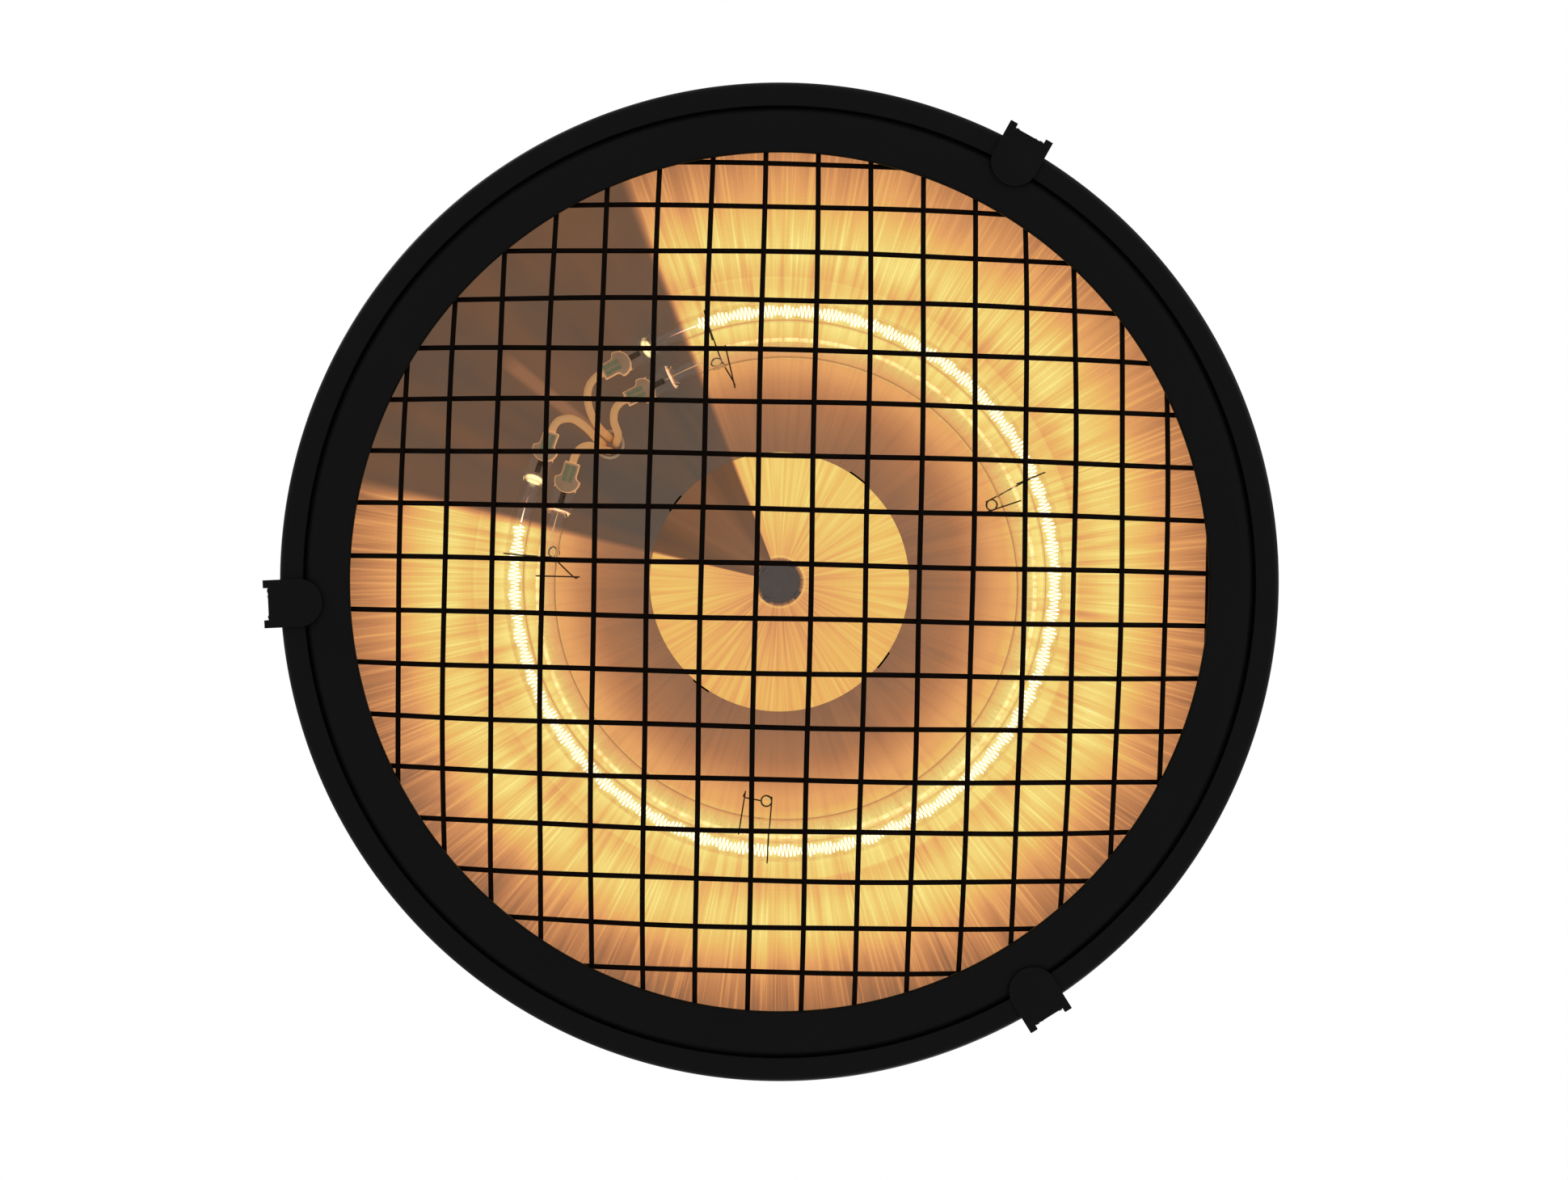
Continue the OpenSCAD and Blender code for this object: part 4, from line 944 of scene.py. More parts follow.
def grid_faces(rows: int, columns: int, close_rows: bool, close_columns: bool) -> np.ndarray:
    """List the quads of a grid whose points are numbered row by row.

    Args:
        rows: Number of rows.
        columns: Number of columns.
        close_rows: Whether the last row joins the first.
        close_columns: Whether the last column joins the first.

    Returns:
        Four point numbers for each quad.
    """
    i = np.arange(rows if close_rows else rows - 1)[:, None]
    j = np.arange(columns if close_columns else columns - 1)[None, :]
    ni, nj = (i + 1) % rows, (j + 1) % columns
    quads = [i * columns + j, ni * columns + j, ni * columns + nj, i * columns + nj]
    return np.stack(np.broadcast_arrays(*quads), axis=-1).reshape(-1, 4)


@dataclass
class Skin:
    """Points and faces of a mesh, in millimetres, with optional values at the points."""

    points: np.ndarray
    quads: np.ndarray
    loops: list[np.ndarray] = field(default_factory=list)  # outlines that get one flat face
    values: dict[str, np.ndarray] = field(default_factory=dict)  # name to one or two numbers each

    @staticmethod
    def joined(skins: Sequence[Skin]) -> Skin:
        """Put several skins into one.

        Args:
            skins: Skins with the same named values.

        Returns:
            One skin that holds them all.
        """
        starts = np.cumsum([0] + [len(s.points) for s in skins[:-1]])
        return Skin(
            np.vstack([s.points for s in skins]),
            np.vstack([s.quads + n for s, n in zip(skins, starts)]),
            [loop + n for s, n in zip(skins, starts) for loop in s.loops],
            {k: np.concatenate([s.values[k] for s in skins]) for k in skins[0].values},
        )


def swept(
    rings: np.ndarray,
    values: dict[str, np.ndarray] | None = None,
    closed: bool = False,
    outward: bool = True,
) -> Skin:
    """Join rings of points into a closed skin, with a flat face on each end.

    Its volume is a sixth of the sum, over the triangles of its faces, of the first corner times
    the cross product of the other two. Its sign tells which way the faces look.

    Args:
        rings: Points, ring by ring.
        values: Named values at the points.
        closed: Whether the last ring joins the first.
        outward: Whether the faces look outward, and not into the skin as in a bore.

    Returns:
        The skin.
    """
    rows, sides = rings.shape[:2]
    points = rings.reshape(-1, 3)
    quads = grid_faces(rows, sides, closed, True)
    end = np.arange(sides)
    loops = [] if closed else [end, (rows - 1) * sides + end[::-1]]
    fans = [quads[:, [0, 1, 2]], quads[:, [0, 2, 3]]]
    fans += [np.column_stack([np.full(sides - 2, loop[0]), loop[1:-1], loop[2:]]) for loop in loops]
    a, b, c = points[np.vstack(fans)].transpose(1, 0, 2)
    if (np.sum(a * np.cross(b, c)) > 0) != outward:
        quads, loops = quads[:, ::-1], [loop[::-1] for loop in loops]
    return Skin(points, quads, loops, values or {})


def spin(degrees: float) -> np.ndarray:
    """Matrix that turns rows of x, y, h about the axis when they are multiplied by it.

    Args:
        degrees: Angle of the turn.

    Returns:
        The 3 x 3 matrix.
    """
    c, s = heading(degrees)
    return np.array([[c, s, 0], [-s, c, 0], [0, 0, 1]])


def lathe(outline: np.ndarray, steps: int = 288) -> Skin:
    """Turn a closed outline about the Z axis: x is r cos a, y is r sin a and h stays.

    Args:
        outline: Radius and height of a loop that turns left.
        steps: Number of positions round the axis.

    Returns:
        Closed skin.
    """
    a = np.linspace(0.0, 2 * np.pi, steps, endpoint=False)[:, None]
    r, h = outline[None, :, 0], outline[None, :, 1]
    points = np.stack([r * np.cos(a), r * np.sin(a), h + 0 * a], axis=-1).reshape(-1, 3)
    return Skin(points, grid_faces(steps, len(outline), True, True))


def run_along(path: np.ndarray) -> np.ndarray:
    """Measure a path: the running sum of the distances between its points.

    Args:
        path: Points, mm.

    Returns:
        Distance of each point from the first.
    """
    return np.concatenate([[0.0], np.cumsum(np.linalg.norm(np.diff(path, axis=0), axis=1))])


def tube(
    path: np.ndarray,
    radius: float | np.ndarray,
    sides: int,
    hint: np.ndarray,
    closed: bool = False,
    hot: np.ndarray | None = None,
) -> Skin:
    """Carry a circle along a path.

    At each point the circle lies across the path: one arm is the tangent crossed with the
    hint, and the other is that arm crossed with the tangent.

    Args:
        path: Points, mm.
        radius: One radius, or one for each point.
        sides: Sides of the circle.
        hint: Direction, or one for each point, that the path never follows.
        closed: Whether the path closes on itself.
        hot: How hot each point is, if the piece glows.

    Returns:
        Skin with the UV map along, in mm, and the attribute hot where it was given.
    """
    if closed:
        tangent = np.roll(path, -1, axis=0) - np.roll(path, 1, axis=0)
    else:
        tangent = np.gradient(path, axis=0)
    tangent /= np.linalg.norm(tangent, axis=1, keepdims=True)
    across = np.cross(tangent, np.broadcast_to(hint, tangent.shape))
    across /= np.linalg.norm(across, axis=1, keepdims=True)
    up = np.cross(across, tangent)
    a = np.linspace(0.0, 2 * np.pi, sides, endpoint=False)
    reach = np.broadcast_to(np.asarray(radius, float), len(path))[:, None, None]
    ring = np.cos(a)[None, :, None] * across[:, None] + np.sin(a)[None, :, None] * up[:, None]
    run = run_along(path)[:, None]
    along = np.stack(np.broadcast_arrays(run, reach[:, :, 0] * a[None, :]), axis=-1)
    values = {"along": along.reshape(-1, 2)}
    if hot is not None:
        values["hot"] = np.repeat(hot, sides)
    return swept(path[:, None] + reach * ring, values, closed)


def smooth_path(points: Sequence[Sequence[float]], steps: int = 8) -> np.ndarray:
    """Draw a smooth curve through points.

    Between two points it is a cubic whose slope at each is half the way from the point before
    to the point after.

    Args:
        points: Points, mm.
        steps: Points drawn for each stretch.

    Returns:
        Points of the curve.
    """
    p = np.asarray(points, float)
    p = np.vstack([2 * p[0] - p[1], p, 2 * p[-1] - p[-2]])
    t = np.linspace(0.0, 1.0, steps, endpoint=False)[None, :, None]
    a, b, c, d = (p[i : len(p) - 3 + i][:, None] for i in range(4))
    cubic = (-a + 3 * b - 3 * c + d) * t**3 + (2 * a - 5 * b + 4 * c - d) * t**2
    curve = 0.5 * (cubic + (c - a) * t + 2 * b)
    return np.vstack([curve.reshape(-1, 3), p[-2]])


def make_piece(
    name: str,
    skin: Skin,
    finish: Finish,
    body: Body,
    nodes: Sequence[str] = (),
    sharp: float = 35.0,
) -> bpy.types.Object:
    """Make an object of a skin, dress it and join it to the frame.

    Args:
        name: Name of the piece.
        skin: Its points and faces.
        finish: Its finish.
        body: The body that it moves with.
        nodes: Frame nodes that it stands for.
        sharp: Angle in degrees past which an edge stays sharp.

    Returns:
        The object.
    """
    mesh = bpy.data.meshes.new(name)
    faces = skin.quads.tolist() + [loop.tolist() for loop in skin.loops]
    mesh.from_pydata(to_frame(skin.points).tolist(), [], faces)
    corner = np.zeros(len(mesh.loops), np.int32)
    mesh.loops.foreach_get("vertex_index", corner)
    for key, value in skin.values.items():
        if value.ndim == 2:
            layer = mesh.uv_layers.new(name=key)
            layer.data.foreach_set("uv", value[corner].astype(np.float32).ravel())
        else:
            layer = mesh.attributes.new(key, "FLOAT", "POINT")
            layer.data.foreach_set("value", value.astype(np.float32))
    piece = bpy.data.objects.new(name, mesh)
    bpy.context.scene.collection.objects.link(piece)
    return settle(piece, finish, body, nodes, sharp)


def settle(
    piece: bpy.types.Object, finish: Finish, body: Body, nodes: Sequence[str], sharp: float
) -> bpy.types.Object:
    """Shade a piece, dress it and join it to the frame.

    Args:
        piece: The object, in place.
        finish: Its finish.
        body: The body that it moves with.
        nodes: Frame nodes that it stands for.
        sharp: Angle in degrees past which an edge stays sharp.

    Returns:
        The same object.
    """
    mesh = piece.data
    mesh.materials.clear()
    mesh.materials.append(finish.material())
    mesh.polygons.foreach_set("use_smooth", np.ones(len(mesh.polygons), bool))
    mesh.set_sharp_from_angle(angle=math.radians(sharp))
    mesh.update()
    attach(piece, body.value)
    if nodes:
        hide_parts(*nodes)
    LOG.info("%s: %d faces, on %s, for %s", piece.name, len(mesh.polygons), body.value, list(nodes))
    return piece


def softened(
    frame: dict, node: str, width: float, finish: Finish, body: Body, name: str, sharp: float = 30.0
) -> bpy.types.Object:
    """Copy a frame node, close its mesh and round its edges.

    Args:
        frame: The loaded frame.
        node: Name of the node.
        width: Width of the rounding, mm.
        finish: Its finish.
        body: The body that it moves with.
        name: Name of the piece.
        sharp: Angle in degrees past which an edge is rounded.

    Returns:
        The new piece.
    """
    mesh = frame["nodes"][node].data.copy()
    mesh.name = name
    b = bmesh.new()
    b.from_mesh(mesh)
    bmesh.ops.remove_doubles(b, verts=b.verts, dist=2e-6)
    bmesh.ops.dissolve_limit(b, angle_limit=math.radians(0.6), verts=b.verts, edges=b.edges)
    b.to_mesh(mesh)
    b.free()
    piece = bpy.data.objects.new(name, mesh)
    bpy.context.scene.collection.objects.link(piece)
    settle(piece, finish, body, [node], 180.0)
    bevel = piece.modifiers.new("edges", "BEVEL")
    bevel.width = width / 1000
    bevel.segments = 2
    bevel.limit_method = "ANGLE"
    bevel.angle_limit = math.radians(sharp)
    bevel.harden_normals = True
    bevel.use_clamp_overlap = True
    return piece


def dress_node(frame: dict, node: str, finish: Finish) -> None:
    """Give a frame node that stays its finish.

    Args:
        frame: The loaded frame.
        node: Name of the node.
        finish: Its finish.
    """
    obj = frame["nodes"][node]
    if not obj.data.materials:
        obj.data.materials.append(None)
    for slot in obj.material_slots:
        slot.material = finish.material()
    LOG.info("%s: kept, %s", node, finish.name)


# ---------------------------------------------------------------- the heater


@dataclass
class Shade:
    """Spun steel shade with its rolled rim and the recess for the guard."""

    rim_r: float = 224.97
    rim_round: float = 3.0
    skirt_h: float = 24.0
    top_h: float = 150.0
    neck_r: float = 60.0
    neck_hole_r: float = 50.0
    sheet: float = 1.2
    recess_r: float = 214.2
    shelf_r: float = 206.0
    shelf_h: float = 4.0

    def outline(self) -> np.ndarray:
        """Outline of the shade: recess, rolled rim, skirt, parabola and flat neck.

        Returns:
            Radius and height, mm.
        """
        k = (self.rim_r**2 - self.neck_r**2) / (self.top_h - self.skirt_h)
        a = np.radians(np.linspace(-90.0, 0.0, 8))
        roll = np.column_stack([np.cos(a), np.sin(a)]) * self.rim_round
        roll += (self.rim_r - self.rim_round, self.rim_round)
        r = np.linspace(self.rim_r, self.neck_r, 60)
        bowl = np.column_stack([r, self.top_h - (r**2 - self.neck_r**2) / k])
        lip = [(self.shelf_r, self.shelf_h), (self.recess_r, self.shelf_h), (self.recess_r, 0.0)]
        path = np.vstack([lip, roll, bowl, [(self.neck_hole_r, self.top_h)]])
        return rounded(sheet_outline(path, self.sheet), 0.5, 4)

    def build(self) -> None:
        """Make the shade."""
        make_piece("shade_skin", lathe(self.outline(), 360), POWDER, Body.HOUSING, ["shade"])


@dataclass
class Guard:
    """Pressed ring, border wire and domed mesh."""

    opening_r: float = 193.2
    ring_r: float = 213.7
    sheet: float = 1.2
    dome_r: float = 350.0
    dome_depth: float = 54.0
    wire_d: float = 2.1
    coat: float = 0.1  # thickness of the dipped coat
    lift: float = 0.16  # how far in the coated wires lie, so that they stay in the CAD's box
    pitch: float = 23.9  # between wires, along the sphere
    shift: tuple[float, float] = (-10.2, -7.8)  # offset of wire 0, in the sets along Y and X
    counts: tuple[tuple[int, int], tuple[int, int]] = ((-7, 9), (-8, 9))  # first and last wires
    turn: float = 1.2  # degrees that the mesh is turned
    wave: float = 0.22  # how far a hand-laid wire strays sideways
    border_d: float = 4.0
    border_at: tuple[float, float] = (197.7, 3.22)  # radius and height of its centre line
    end_r: tuple[float, float] = (203.0, 197.0)  # where the wires along Y and along X end

    def ring(self) -> Skin:
        """Ring with a flat face, a raised shoulder and a turned-up wall.

        Returns:
            Closed skin.
        """
        r0, r1 = self.opening_r, self.ring_r
        path = [(r0, 2.2), (r0, 0.9), (r0 + 0.9, 0), (r1 - 5.5, 0), (r1 - 2.2, 0.7)]
        path = rounded([*path, (r1, 2.2), (r1, 3.7)], 0.9, 6, closed=False)
        return lathe(rounded(sheet_outline(path, self.sheet), 0.35, 3), 360)

    def border(self) -> Skin:
        """Border wire: a circle carried round the ring.

        Returns:
            Closed skin.
        """
        a = np.linspace(0, 2 * np.pi, 240, endpoint=False)
        path = np.column_stack([self.border_at[0] * np.cos(a), self.border_at[0] * np.sin(a)])
        path = np.column_stack([path, np.full(len(a), self.border_at[1])])
        return tube(path, self.border_d / 2, 16, UP, closed=True)

    def wire(self, offset: float, sphere_r: float, end_r: float, swap: bool) -> Skin:
        """One wire of the dome.

        It lies in a plane at a fixed offset, on the sphere's section there, and ends where its
        distance from the axis reaches the end radius. It strays from the plane by the wave times
        the sine of its run over 24 mm, and the sine's start differs from wire to wire.

        Args:
            offset: Distance of its plane from the axis.
            sphere_r: Radius of the sphere that its centre line lies on.
            end_r: Distance of its ends from the axis.
            swap: Whether it runs along X instead of Y.

        Returns:
            Skin of the wire.
        """
        section = math.sqrt(sphere_r**2 - offset**2)
        half = math.asin(math.sqrt(end_r**2 - offset**2) / section)
        a = np.linspace(-half, half, 72)
        run, h = section * np.sin(a), (self.dome_r - self.dome_depth) - section * np.cos(a)
        across = offset + self.wave * np.sin(run / 24.0 + offset)
        path = np.column_stack([run, across, h] if swap else [across, run, h])
        turned = spin(self.turn)
        hint = np.array([0.0, 1.0, 0.0] if swap else [1.0, 0.0, 0.0])
        return tube(path @ turned, self.wire_d / 2 + self.coat, 12, hint @ turned)

    def mesh(self) -> Skin:
        """All the wires: the ones along Y in front, the ones along X just behind them.

        Returns:
            One skin.
        """
        wires = []
        for swap, (low, high) in enumerate(self.counts):
            sphere_r = self.dome_r - self.lift - swap * (self.wire_d + 0.05)
            for k in range(low, high + 1):
                offset = self.dome_r * math.sin((self.shift[swap] + k * self.pitch) / self.dome_r)
                wires.append(self.wire(offset, sphere_r, self.end_r[swap], bool(swap)))
        return Skin.joined(wires)

    def build(self) -> None:
        """Make the guard."""
        make_piece("guard_ring_pressing", self.ring(), POWDER, Body.GUARD, ["guard_ring"])
        make_piece("guard_border_wire", self.border(), DIPPED, Body.GUARD, ["guard_border"])
        make_piece("guard_mesh_wires", self.mesh(), DIPPED, Body.GUARD, ["guard_mesh"])


@dataclass
class Mirror:
    """Reflector dish, centre cone and the cap on its apex."""

    flange_r: float = 221.0
    mirror_r: float = 216.0
    crest: tuple[float, float] = (126.0, 75.0)
    focal: float = 30.0
    floor_h: float = FLOOR_H
    sheet: float = 1.0
    thin: float = 0.8  # sheet of the cone and of the cap's tabs
    cone_r: float = 61.0
    apex: tuple[float, float] = (11.5, 42.0)
    cap_r: float = 9.6
    tab_h: float = 2.85  # how far the cone's tabs reach back
    tab_half: tuple[float, float] = (4.0, 2.0)  # half widths of the cone's and the cap's tabs

    def dish(self) -> Skin:
        """Dish: flat floor, then the height falls with the square of the way from the crest.

        Returns:
            Closed skin.
        """
        start = self.crest[0] - math.sqrt(4 * self.focal * (self.crest[1] - self.floor_h))
        r = np.linspace(start, self.mirror_r, 90)
        h = self.crest[1] - (r - self.crest[0]) ** 2 / (4 * self.focal)
        floor = np.column_stack([np.linspace(2.8, start, 24)[:-1], np.full(23, self.floor_h)])
        path = np.vstack([floor, np.column_stack([r, h]), [(self.flange_r, h[-1])]])
        return lathe(sheet_outline(path, self.sheet), 360)

    def cone(self) -> Skin:
        """Centre cone with a small flat apex, a softly rounded edge round it and four tabs.

        Returns:
            Skin of the cone and its tabs.
        """
        rim_h = self.floor_h - 0.75
        path = rounded([(3.0, self.apex[1]), self.apex, (self.cone_r, rim_h)], 2.0, 8, closed=False)
        skin = lathe(rounded(sheet_outline(path, self.thin), 0.25, 3), 288)
        r, top = self.cone_r - 1.0, rim_h + self.tab_h
        tab = [(r, rim_h), (r + self.thin, rim_h), (r + self.thin, top), (r, top)]
        return Skin.joined([skin, self.strips(rounded(tab, 0.2, 3), self.tab_half[0])])

    def cap(self) -> Skin:
        """Dark cap: a shallow dished disc with a rounded edge.

        Returns:
            Closed skin.
        """
        h = self.apex[1]
        outline = [(0.01, h - 1.2), (self.cap_r, h - 1.2), (self.cap_r, h - 0.05), (0.01, h - 0.05)]
        return lathe(rounded(outline, 0.5, 5), 96)

    def tabs(self) -> Skin:
        """Four bent tabs of the cap, which pass through the cone's slots.

        Returns:
            Skin of four closed strips.
        """
        h = self.apex[1]
        bend = [(self.cap_r - 1, h - 1.2), (11.0, h - 1.2), (11.0, h + 3.8)]
        return self.strips(rounded(sheet_outline(bend, self.thin), 0.3, 3), self.tab_half[1])

    def strips(self, side: np.ndarray, half: float) -> Skin:
        """Repeat a strip in the tabs' four directions.

        Args:
            side: Its outline, radius and height.
            half: Half of its width.

        Returns:
            Skin of four closed strips.
        """
        rows = [np.insert(side, 1, y, axis=1) for y in (half, -half)]
        return Skin.joined([swept(np.array(rows) @ spin(turn)) for turn in TAB_ANGLES])

    def build(self) -> None:
        """Make the mirror."""
        make_piece("reflector_dish", self.dish(), MIRROR, Body.HOUSING, ["reflector"])
        make_piece("centre_cone", self.cone(), CONE, Body.HOUSING, ["centre_reflector"])
        parts = Skin.joined([self.cap(), self.tabs()])
        make_piece("centre_cap_disc", parts, OXIDISED, Body.HOUSING, ["centre_cap"])


@dataclass
class RingLamp:
    """One C-shaped quartz lamp: tube with pressed ends, coil with its tails, foils and caps."""

    name: str
    ring_r: float  # radius of the tube's centre line
    centre: tuple[float, float]
    overrun: tuple[float, float]  # degrees of glass arc beyond the coil, first and last end
    glass: Finish
    wire: Finish
    glint: tuple[float, float, float]  # painted glint: way past the arc, half length, half width
    coil_r: float = 2.3
    wire_d: float = 0.55
    pitch: float = 1.8
    swell: float = 0.28  # share by which the coil's radius swells and shrinks
    lit: bool = True
    height: float = LAMP_H
    tube_r: float = 5.0
    wall: float = 1.0
    coil_start: float = 251.1  # direction of the coil's first end, degrees
    coil_span: float = 301.0  # degrees
    blade_end: float = 19.0  # end of the pressed blade past the arc
    foil: tuple[float, float] = (7.0, 15.5)  # where the foils start and end past the arc
    tail_r: tuple[float, float] = (0.12, 0.35)  # radius of a tail at the foil and at the coil
    cooling: float = 15.0  # mm over which a tail thins and cools, from the coil
    per_turn: int = 14  # points on each turn of the coil
    ends: int = 48  # points on each tangent
    sides: int = 32  # points round the glass

    def course(self, reach: float, steps: int) -> tuple[np.ndarray, np.ndarray, np.ndarray]:
        """Centre line of the tube: an arc of the ring with a straight tangent at each end.

        Args:
            reach: How far the tangents run past the arc, mm.
            steps: Points on the arc.

        Returns:
            The points, the outward direction at each, and the distance past the arc's end.
        """
        a0 = math.radians(self.coil_start - self.overrun[0])
        a1 = math.radians(self.coil_start + self.coil_span + self.overrun[1])
        past = np.linspace(0.1, 1.0, self.ends) * reach
        straight = np.full(self.ends, 1.0)
        a = np.concatenate([a0 * straight, np.linspace(a0, a1, steps), a1 * straight])
        s = np.concatenate([-past[::-1], np.zeros(steps), past])
        out = np.column_stack([np.cos(a), np.sin(a), 0 * a])
        along = np.column_stack([-np.sin(a), np.cos(a), 0 * a])
        points = np.array([*self.centre, self.height]) + self.ring_r * out + s[:, None] * along
        return points, out, np.abs(s)

    def section(self, s: np.ndarray, sizes: Sequence[Sequence[float]]) -> np.ndarray:
        """Cross sections that change along the tube.

        Each is a superellipse: the half width times the signed power 2/n of the cosine, and
        the half height times the signed power 2/n of the sine.

        Args:
            s: Distance past the arc's end at each point.
            sizes: Rows of distance, half width, half height and n.

        Returns:
            Sideways and upward place of each point of each section.
        """
        table = np.asarray(sizes, float).T
        wide, high, power = (np.interp(s, table[0], row)[:, None] for row in table[1:])
        t = np.linspace(0, 2 * np.pi, self.sides, endpoint=False)[None, :]
        c, d = np.cos(t), np.sin(t)
        x = wide * np.sign(c) * np.abs(c) ** (2 / power)
        z = high * np.sign(d) * np.abs(d) ** (2 / power)
        return np.stack([x, z], axis=-1)

    def skin_along(self, reach: float, sizes: Sequence[Sequence[float]], inward: bool) -> Skin:
        """Carry the changing section along the tube.

        Args:
            reach: How far the skin runs past the arc.
            sizes: Rows of distance, half width, half height and power.
            inward: Whether its faces point into it, as in a bore.

        Returns:
            Closed skin, with the attribute glint, the strength of a painted glint: one less the
            squares of the distances from the glint's middle over its half length and half width,
            and then the square root.
        """
        points, out, s = self.course(reach, 300)
        shape = self.section(s, sizes)
        middle, long, wide = self.glint
        spot = 1 - ((s[:, None] - middle) / long) ** 2 - (shape[..., 0] / wide) ** 2
        glint = np.sqrt(np.clip(spot, 0.0, 1.0)) * (not inward)
        rings = points[:, None] + shape[..., :1] * out[:, None] + shape[..., 1:] * UP
        return swept(rings, {"glint": glint.ravel()}, outward=not inward)

    def tube(self) -> Skin:
        """Glass: the outside with its shoulders and pressed blades, and the bore.

        Returns:
            One skin with a hollow in it.
        """
        r, b = self.tube_r, self.tube_r - self.wall
        outside = [
            (0, r, r, 2), (2.4, r, r, 2), (3.6, 5.4, 3.4, 2.4), (4.6, 6.0, 1.9, 3),
            (6.2, 6.0, 1.6, 3.6), (7.4, 5.3, 1.25, 4), (self.blade_end - 0.6, 5.25, 1.2, 4),
            (self.blade_end, 4.9, 0.9, 4),
        ]
        bore = [
            (0, b, b, 2), (2.0, b, b, 2), (3.0, b * 0.9, b * 0.75, 2), (3.7, b * 0.55, 0.7, 2),
            (4.1, 0.3, 0.1, 2),
        ]
        glass = self.skin_along(self.blade_end, outside, False)
        return Skin.joined([glass, self.skin_along(bore[-1][0], bore, True)])

    def coil(self) -> Skin:
        """Heating coil: a helix wound round the ring, with plain tails into the pinches.

        The helix's radius follows a sine with a period of some 10 mm, and it varies a little
        from turn to turn. Its middle strays by 0.3 mm, as a hot coil's does.

        Returns:
            Skin of the wire, with the attribute hot.
        """
        turns = round(math.radians(self.coil_span) * self.ring_r / self.pitch)
        n = turns * self.per_turn
        share = np.arange(n + 1) / n
        a = np.radians(self.coil_start + self.coil_span * share)
        turn = 2 * np.pi * turns * share
        wave = self.swell * np.sin(turn * self.pitch / 10.0 + 0.9 * np.sin(turn / 23.0))
        wave += 0.06 * np.sin(turn / 1.9) + 0.04 * np.sin(turn / 3.3 + 1.0)
        swell = self.coil_r * (1 + wave) * np.clip(np.minimum(share, 1 - share) * turns, 0.05, 1)
        out = np.column_stack([np.cos(a), np.sin(a), 0 * a])
        side = np.cos(turn)[:, None] * out + np.sin(turn)[:, None] * UP
        centre = np.array([*self.centre, self.height])
        stray = 0.2 * np.sin(turn / 9.0) + 0.1 * np.sin(turn / 31.0)
        path = centre + (self.ring_r + stray)[:, None] * out + swell[:, None] * side
        glow = float(self.lit)
        skins = [tube(path, self.wire_d / 2, 5, side, hot=np.full(len(path), glow))]
        points, _, _ = self.course(self.foil[0], 2000)
        for line, overrun in zip((points, points[::-1]), self.overrun):
            length = self.foil[0] + overrun * math.radians(self.ring_r)
            run = run_along(line)
            line, run = line[run < length][::4], run[run < length][::4]
            near = np.clip(1 - (length - run) / self.cooling, 0.0, 1.0)
            skins.append(tube(line, np.interp(near, (0, 1), self.tail_r), 8, UP, hot=glow * near))
        return Skin.joined(skins)

    def foils(self) -> Skin:
        """Sealing foils in the pressed blades.

        Returns:
            Skin of thin strips.
        """
        points, out, s = self.course(self.blade_end + 1.0, 2)
        w, t = 1.3, 0.12  # half width and half thickness
        ring = np.array([(-w, -t), (w, -t), (w, t), (-w, t)])
        strips = []
        for half in (slice(self.ends), slice(-self.ends, None)):
            keep = (s[half] > self.foil[0]) & (s[half] < self.foil[1])
            line, side = points[half][keep][::4], out[half][keep][::4]
            strips.append(swept(line[:, None] + ring[:, :1] * side[:, None] + ring[:, 1:] * UP))
        return Skin.joined(strips)

    def build(self) -> None:
        """Make the lamp."""
        nodes = [f"{self.name}_tube"], [self.name.replace("lamp", "filament")]
        make_piece(f"{self.name}_glass", self.tube(), self.glass, Body.HOUSING, nodes[0], 60)
        make_piece(f"{self.name}_coil", self.coil(), self.wire, Body.HOUSING, nodes[1], 180)
        make_piece(f"{self.name}_foils", self.foils(), SPRING, Body.HOUSING)

    def end_place(self, last: bool) -> tuple[np.ndarray, np.ndarray, np.ndarray]:
        """Place of an end of the arc.

        Args:
            last: Whether it is the lamp's last end.

        Returns:
            The point, the direction past the end, and the outward direction.
        """
        points, out, s = self.course(1.0, 2)
        if last:
            points, out, s = points[::-1], out[::-1], s[::-1]
        past = points[0] - points[1]
        past /= np.linalg.norm(past)
        nearest = self.ends - 1
        return points[nearest] - past * s[nearest], past, out[0]

    def cap(self, number: int, last: bool) -> np.ndarray:
        """Make the ceramic cap of one end.

        Its outline is a half disc that narrows to a short body. It is repeated at six heights and
        drawn in at the edges. The attribute rim, the strength of painted lamp light, is 0.14 on its
        faces and 1 on its sides.

        Args:
            number: Number of the cap.
            last: Whether it is at the lamp's last end.

        Returns:
            Where its lead starts, just behind it.
        """
        origin, past, out = self.end_place(last)
        t = np.radians(np.linspace(100, 260, 15))
        start, body_end, flare, half = 13.0, 27.5, 6.0, 3.5
        middle = start + flare
        arc = np.column_stack([middle + flare * 0.98 * np.cos(t), flare * np.sin(t)])
        side = np.array([
            (body_end, half), (middle + 2.2, half), (middle + 1.0, 4.6), (middle + 0.6, 5.9),
        ])
        plan = rounded(np.vstack([side, arc, side[::-1] * (1, -1)]), 0.5, 3)
        centre = plan.mean(axis=0)
        rows, uv = [], []
